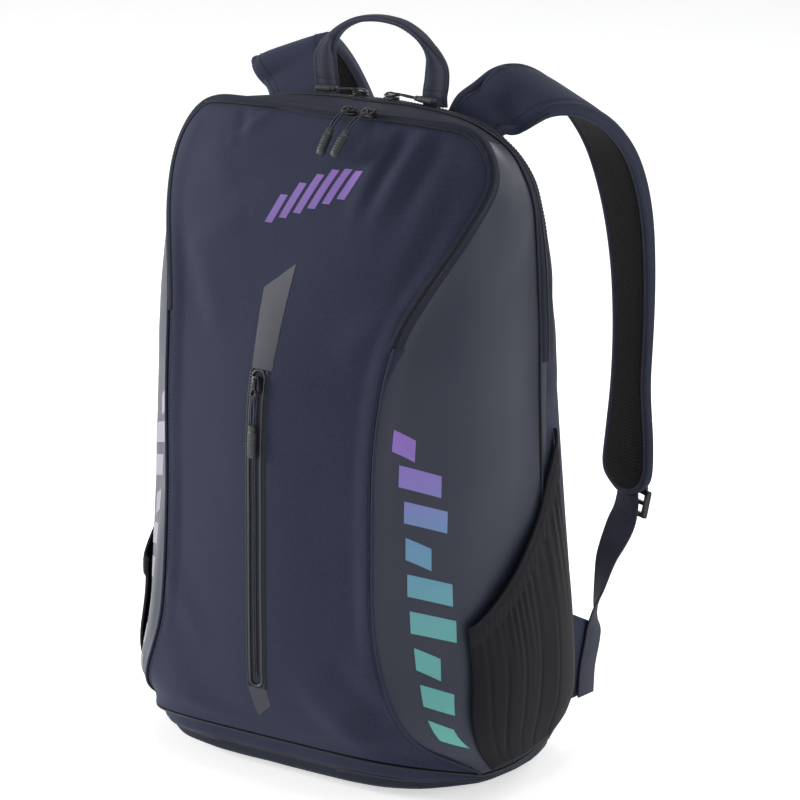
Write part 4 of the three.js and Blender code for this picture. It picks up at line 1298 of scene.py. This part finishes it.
def pull(name, body, path, wide):
    """A cord loop from the slider's bridge to a ribbed rubber grip."""
    path = smooth_path(np.array(path) * MM, 90)
    share = lengths(path) / lengths(path)[-1]
    run, across = unit(np.gradient(path, axis=0)), sideways(path, wide)
    turn = np.linspace(0, 2 * math.pi, 25)
    eye = path[0] + run[0] * 1.4 * MM + np.outer(np.cos(turn) * 2.6 * MM, run[0])
    eye = eye + np.outer(np.sin(turn) * 2.1 * MM, across[0])
    ring_way = np.cross(run[0], across[0])
    parts = [paint(sweep(f"{name}_eye", eye, ring_way, circle(0.6 * MM), False), METAL)]
    corded = (share >= 0.06) & (share <= 0.58)
    for way in (-1, 1):
        spread = np.sin(math.pi * (share[corded] - 0.06) / 0.52) * 1.1 + 0.35
        strand = even(path[corded] + across[corded] * (spread * way * MM)[:, None], 0.8 * MM)
        parts.append(paint(sweep(f"{name}_cord{way + 1}", strand, across[0], circle(0.85 * MM)), WEBBING))
    parts.append(from_profile(f"{name}_collar", path, across, share, (0.50, 0.58),
                              lambda t: 2.6 * MM + 0.3 * MM * np.sin(t * math.pi),
                              lambda t: 1.9 * MM + 0 * t))
    parts.append(from_profile(f"{name}_grip", path, across, share, (0.56, 0.98), grip_width, grip_thick, 44))
    settle(join(name, parts), body, "pull_rubber", body)


def sliders():
    for word, side in SIDES:
        x = MAIN_SLIDER_X[word]
        slider(f"main_zip_slider_{word}", f"main_slider_{word}", (x, -0.5, 504.2), (-side, 0, 0), UP)
        path = [(x + side * 4.5, -0.5, 508.2), (x + side * 10, -0.6, 507.8), (x + side * 22, -1, 506.8),
                (x + side * 41, -2, 506)]
        pull(f"main_zip_pull_{word}", f"main_pull_{word}", path, BACK)
        x, lean = FRONT_SLIDER[word]
        slider(f"front_zip_slider_{word}", f"front_slider_{word}", (x, -56.5, 502), (-side, 0, 0),
               (0, -0.25, 1))
        path = [(x, -61, 505.4), (x, -63.5, 503.8), (x + 0.3 * lean, -76, 496.5),
                (x + 0.8 * lean, -87, 482.5), (x + lean, -92, 474)]
        pull(f"front_zip_pull_{word}", f"front_pull_{word}", path, RIGHT)
    slider("pocket_zip_slider", "pocket_slider", (0, -147.0, 312), (0, 0.14, 1), (0, -1, 0.14))
    path = [(0, -151.6, 307.5), (0, -152.2, 304.5), (0, -153.2, 286), (0, -154.2, 266), (0, -154.4, 256)]
    pull("pocket_zip_pull", "pocket_pull", path, RIGHT)


# ---- Carry handle ----------------------------------------------------------------------------------
# along half of the handle: place, width and thickness
HANDLE_HALF = np.array([
    (49.5, 12, 499, 21.5, 2.6), (49, 12, 508, 21.5, 2.6), (50.5, 12, 518, 21.5, 2.7),
    (50.5, 12, 528, 20, 3.2),
    (46.5, 12, 539, 12, 7.5), (37, 12, 550, 5.6, 11.5), (22.5, 12, 558, 5.0, 12), (7.5, 12, 561, 5.0, 12),
]) * MM


def handle():
    """Webbing sewn down at both ends and folded into a narrow grip at the top."""
    rows = smooth_path(np.vstack([HANDLE_HALF * (-1, 1, 1, 1, 1), HANDLE_HALF[::-1]]), 161)
    path = rows[:, :3]
    run = np.gradient(path, axis=0)
    wide = np.stack([run[:, 2], np.zeros(161), -run[:, 0]], -1)
    sections = []
    for width, thick in rows[:, 3:]:
        flatness = np.clip(abs(math.log(width / thick)) / 1.5, 0, 1)
        sections.append(squared(32, mix(0.8, 0.35, flatness)) * (width / 2, thick / 2))
    made = paint(sweep("handle_webbing", path, wide, sections), WEBBING)
    settle(made, "handle_root", "webbing", "carry_handle")
    tree = tree_of(made, every=True)
    folded = slice(46, 115)
    for k, way in enumerate((-1, 1)):
        line = path[folded] - BACK * 6 * MM + unit(wide)[folded] * way * 1.6 * MM
        stitches(f"handle_stitches_{k}", line, tree, "handle_root", 2.6 * MM)
    for word, side in SIDES:
        for row, level in enumerate((506.5, 511.5)):
            line = mirror(np.linspace((38.5, 10, level), (59.5, 10, level), 12), side) * MM
            stitches(f"handle_tack_{word}_{row}", line, tree, "handle_root", 2.4 * MM)


# ---- Shoulder straps -------------------------------------------------------------------------------
# how far the top of each strap leans outwards and up
STRAP_LEAN = {"left": (6, 3), "right": (-2, -9)}
# along the right strap: place, width and the direction across it
STRAP_PAD = [
    (90, 38, 508, 58, 0.85, -0.2, -0.48), (104, 48, 518, 65, 0.88, -0.3, -0.37),
    (113, 66, 517, 67, 0.89, -0.32, -0.33), (119, 88, 507, 67, 0.9, -0.35, -0.26),
    (124, 115, 487, 65, 0.91, -0.38, -0.18), (127, 143, 455, 62, 0.92, -0.4, -0.1),
    (128, 164, 410, 57, 0.92, -0.4, -0.04), (128, 176, 360, 50, 0.92, -0.4, 0),
    (127, 181, 310, 46, 0.92, -0.4, 0), (126, 181, 262, 45, 0.92, -0.4, 0),
    (127, 179, 218, 56, 0.92, -0.4, 0), (127, 176, 188, 59, 0.92, -0.4, 0),
    (127, 174, 174, 44, 0.92, -0.4, 0),
]
STRAP_ROOT = [(78, 17, 487, 46, 0.95, -0.1, -0.3), (82, 26, 499, 52, 0.9, -0.15, -0.4)]
# along the right strap's tail: place and the direction across it
WEBBING_PATH = [
    (128.5, 176.5, 176, 0.92, -0.4, 0), (130, 171, 162, 0.92, -0.2, 0), (130.5, 160, 147, 0.95, 0.1, 0),
    (136, 132, 128, 0.88, -0.47, 0.1), (142, 110, 105, 0.6, -0.6, 0.45), (146.5, 98, 91, 0.1, -0.55, 0.82),
    (147.8, 92, 76, 0.05, -0.95, 0.2), (148.0, 85, 56, 0.05, -1.0, 0.05), (148.0, 83, 34, 0.05, -1.0, 0.0),
]
WING = np.array([(47.5, 113), (95, 90), (94, 34), (48.5, 36)]) * MM
WING_X = 145.25 * MM


def strap_pad(word, side):
    hold = f"strap_{word}_root"
    out, up = STRAP_LEAN[word]
    rows = [(x + out * 0.6, y, z + up * 0.5, *rest) for x, y, z, *rest in STRAP_ROOT]
    for k, (x, y, z, *rest) in enumerate(STRAP_PAD):
        near = max(0, 1 - k / 6)
        rows.append((x + out * near, y, z + up * near, *rest))
    rows = smooth_path(np.array(rows) * (side, 1, 1, 1, side, 1, 1), 181)
    path, width, wide = rows[:, :3] * MM, rows[:, 3] * MM, rows[:, 4:]
    along = lengths(path)
    tip = np.clip((along[-1] - along) / (20 * MM), 0, 1)
    width = width * np.maximum(0.42, np.sqrt(1 - (1 - tip) ** 2))
    plump = np.interp(path[:, 2], np.array([180, 300, 430]) * MM, (0.7, 0.76, 1.0))
    plump = plump * np.clip(along / (45 * MM), 0.35, 1) * np.minimum(1, 0.4 + tip)
    flat, crown = squared(48, 0.55, 0.5).T
    crown = crown * (1 - 0.35 * np.abs(flat) ** 6)
    sections = np.stack([width[:, None] / 2 * flat, 6.1 * MM * plump[:, None] * crown], -1)
    made = sweep(f"strap_cushion_{word}", path, wide, sections)
    up_way = unit(np.cross(np.gradient(path, axis=0), wide))
    outer_sign = 1 if up_way[90] @ BACK > 0 else -1
    paint(made, TWILL, MESH)
    slots = []
    for polygon in made.data.polygons:
        centre = np.array(polygon.center)
        k = int(np.argmin(np.linalg.norm(path - centre, axis=1)))
        slots.append(int((centre - path[k]) @ up_way[k] * outer_sign < 0))
    made.data.polygons.foreach_set("material_index", slots)
    settle(made, hold, "navy_twill", f"strap_pad_{word}")

    tree = tree_of(made, every=True)
    across = unit(wide)
    keep = along > 6 * MM
    reach = across * (width / 2 - 2.5 * MM)[:, None]
    rim = there_and_back((path - reach)[keep], (path + reach)[keep])
    for _ in range(10):
        rim[1:-1] = (rim[:-2] + rim[2:] + 2 * rim[1:-1]) / 4
    away = np.cross(np.gradient(rim, axis=0), there_and_back(up_way[keep], up_way[keep]))
    thin = np.clip(plump, 0.45, 1)[keep, None]
    thin = there_and_back(thin, thin)
    size = np.concatenate([np.ones_like(thin), thin], 1)[:, None]
    section = oblong(6.4 * MM, 10.9 * MM, 2.9 * MM, 5) * size
    settle(paint(sweep(f"strap_binding_{word}", rim, away, section), BINDING), hold, "webbing")
    for k, way in enumerate((-1, 1)):
        for face, sign in (("out", outer_sign), ("in", -outer_sign)):
            line = path + across * (way * (width / 2 - 7.6 * MM))[:, None] + up_way * sign * 8 * MM
            stitches(f"strap_stitches_{word}_{k}_{face}", line[keep][:-16], tree, hold)
    lifts = ((150, 6.0), (158, 7.2), (166, 7.6))
    keeper = [path[at] + up_way[at] * outer_sign * high * MM for at, high in lifts]
    keeper += [np.array([134 * side, 183, 178]) * MM, np.array([134.6 * side, 184.5, 172]) * MM]
    section = oblong(24 * MM, 1.6 * MM, 0.6 * MM, 2)
    loop = sweep(f"lock_keeper_{word}", smooth_path(keeper, 30), wide[160], section)
    settle(make_flat(paint(loop, WEBBING), 60), f"strap_{word}", "webbing")


def strap_end(word, side):
    rows = smooth_path(np.array(WEBBING_PATH) * (side, 1, 1, side, 1, 1), 121)
    made = sweep(f"strap_tail_{word}", rows[:, :3] * MM, rows[:, 3:], oblong(25 * MM, 1.8 * MM, 0.7 * MM, 2))
    make_flat(paint(made, WEBBING), 60)
    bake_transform(made)
    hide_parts(f"strap_webbing_{word}")

    a, b = grid(21, 21)
    flat = quad_points(WING[[3, 2, 1, 0]], a, b)
    puff = 0.5 * MM + 0.9 * MM * np.sin(math.pi * np.clip(a * 0.9 + 0.05, 0, 1)) * np.sin(math.pi * b)
    faces = [np.stack([side * (WING_X + puff * way), flat[..., 0], flat[..., 1]], -1) for way in (1, -1)]
    wing = paint(shell(f"strap_wing_{word}", *faces), TWILL, TWILL)
    settle(wing, "root", "navy_twill", f"strap_anchor_{word}")
    tree = tree_of(wing, every=True)
    for k, (start, end, inset) in enumerate(((0, 1, -3.2 * MM), (2, 3, 3.2 * MM))):
        y, z = np.linspace(WING[start], WING[end], 20).T
        line = np.stack([np.full(20, side * (WING_X + 3 * MM)), y, z + inset], -1)
        stitches(f"strap_wing_stitches_{word}_{k}", line[1:-1], tree, "root", 2.8 * MM)


def ladder_lock(word, side):
    """A moulded adjuster: a rounded frame with three bars and a lifted lip."""
    parts = []
    for k, (y, length, tall) in enumerate(((9.2, 34, 3.4), (0.6, 30, 3.0), (-8.8, 34, 3.6))):
        outline = rounded(length * MM, tall * MM) + (0, y * MM)
        parts.append(plate(f"lock_bar{k}", outline, 0.2 * MM, 4.2 * MM, 0.8 * MM))
    for k, way in enumerate((-1, 1)):
        outline = rounded(21.5 * MM, 3.6 * MM)[::-1, ::-1] + (way * 15.3 * MM, 0)
        parts.append(plate(f"lock_side{k}", outline, 0.0, 4.0 * MM, 0.9 * MM))
    outline = rounded(26 * MM, 4.5 * MM) + (0, 12.2 * MM)
    parts.append(plate("lock_lip", outline, 1.2 * MM, 3.4 * MM, 0.6 * MM))
    for part in parts:
        paint(part, PLASTIC)
    made = join(f"strap_lock_{word}", parts)
    x = unit(np.array([0.92, -0.4 * side, 0]))
    placed(made, np.array([134 * side, 181, 166]) * MM, x, np.cross(x, (0, 0.25, 1)))
    settle(made, f"buckle_{word}", "buckle_plastic", f"ladder_lock_{word}")


def straps():
    for word, side in SIDES:
        strap_pad(word, side)
        strap_end(word, side)
        ladder_lock(word, side)


# ---- Prints and patches ----------------------------------------------------------------------------
BAR_LOW, BAR_HIGH, SIDE_BARS = 46 * MM, 290 * MM, 9
# where the side bars start and end across the gusset, at heights up the side
BAR_HEIGHTS = np.array([46, 77, 118, 165, 225, 290]) * MM
BAR_OUTER = (0.70, 0.66, 0.635, 0.66, 0.69, 0.79)
BAR_INNER = (0.83, 0.83, 0.845, 0.858, 0.873, 0.945)
# the reflective patch: its lower and upper edge, each from left to right, and the tip's extra height
PATCH_LOW, PATCH_HIGH = 322.5 * MM, 380 * MM
PATCH_BOTTOM, PATCH_TOP = np.array([-7.5, 10.5]) * MM, np.array([-11.5, 12]) * MM
PATCH_TIP = 19 * MM
PATCH_OVERLAP = 0.6 * MM


def patch(name, shape, surface, tree, hold, material, span, lift=0.22 * MM):
    """A thin four-sided film on a cloth, coloured by its height within the span."""
    rough = surface(*np.moveaxis(quad_points(np.array(shape, float), *grid(14, 24)), -1, 0))
    places, ups = [field.reshape(rough.shape) for field in snap(rough.reshape(-1, 3), tree, 0)]
    made = paint(shell(name, places + ups * lift, places - ups * 0.1 * MM), material, material)
    settle(made, hold, "coated_side")
    low, high = span
    layer = made.data.uv_layers["UVMap"]
    for loop in made.data.loops:
        z = made.data.vertices[loop.vertex_index].co.z
        layer.data[loop.index].uv = (layer.data[loop.index].uv[0], (z - low) / (high - low))


def side_bars():
    pitch = (BAR_HIGH - BAR_LOW) / SIDE_BARS
    rise, tall = 9 * MM, pitch * 0.60
    trees = {word: cloth_tree(f"side_{word}") for word, _ in SIDES}
    for k in range(SIDE_BARS):
        base = BAR_LOW + k * pitch
        outer, inner = (np.interp(base + tall / 2, BAR_HEIGHTS, row) for row in (BAR_OUTER, BAR_INNER))
        if k % 3 == 2:
            outer = mix(outer, inner, 0.45)
        shape = ((inner, base + rise), (outer, base), (outer, base + tall), (inner, base + tall + rise))
        for word, side, material in (("right", 1, PRINT_RIGHT), ("left", -1, PRINT_LEFT)):
            def on_side(t, z):
                return mirror(gusset(share_at("zip", z), t), side)
            patch(f"side_bar_{word}_{k}", shape, on_side, trees[word], "mouth", material, (BAR_LOW, BAR_HIGH))


def front_bars():
    tree = cloth_tree("flap")
    for k in range(6):
        x, z = (-24 + k * 11.5) * MM, (424 + 4.5 * k) * MM
        tall = (14 + 15 * math.sin(math.pi * (k + 1) / 7)) * MM
        lean, wide = 0.42 * tall, 6.5 * MM
        shape = ((x, z), (x + wide, z), (x + wide + lean, z + tall), (x + lean, z + tall))
        patch(f"front_bar_{k}", shape, on_front, tree, "crease", PRINT_FRONT, (0.42, 0.48))


def reflective():
    tree = cloth_tree("front_lower", "flap")
    middle = mix(PATCH_BOTTOM, PATCH_TOP, (CREASE_Z - PATCH_LOW) / (PATCH_HIGH - PATCH_LOW))
    (low_left, low_right), (left, right), (top_left, top_right) = PATCH_BOTTOM, middle, PATCH_TOP
    over = CREASE_Z + PATCH_OVERLAP
    film = (
        ("reflective_lower", "mouth", 0.22 * MM,
         ((low_left, PATCH_LOW), (low_right, PATCH_LOW), (right, over), (left, over))),
        ("reflective_upper", "crease", 0.28 * MM,
         ((left, CREASE_Z), (right, CREASE_Z), (top_right, PATCH_HIGH + PATCH_TIP), (top_left, PATCH_HIGH))),
        ("reflective_end", "mouth", 0.22 * MM,
         np.array([(-1.5, 54), (11.5, 65), (8.6, 78), (-8.6, 78)]) * MM),
    )
    # the reflective film's colour, dark at its foot and light at its top, is painted shading
    for name, hold, lift, shape in film:
        patch(name, shape, on_front, tree, hold, REFLECTIVE_PAINTED_SHADE, (0.32, 0.40), lift)


# ---- Assembly --------------------------------------------------------------------------------------
studio()
front_cloths()
side_cloths()
back_pieces()
base_piece()
inner_pieces()
pockets()
zips()
zip_tabs()
piping()
pocket_zip()
sliders()
handle()
straps()
side_bars()
front_bars()
reflective()
settle(CLOTH["front_lower"], "mouth", "navy_twill", "front_panel_lower")
settle(CLOTH["flap"], "crease", "navy_twill", "front_flap")
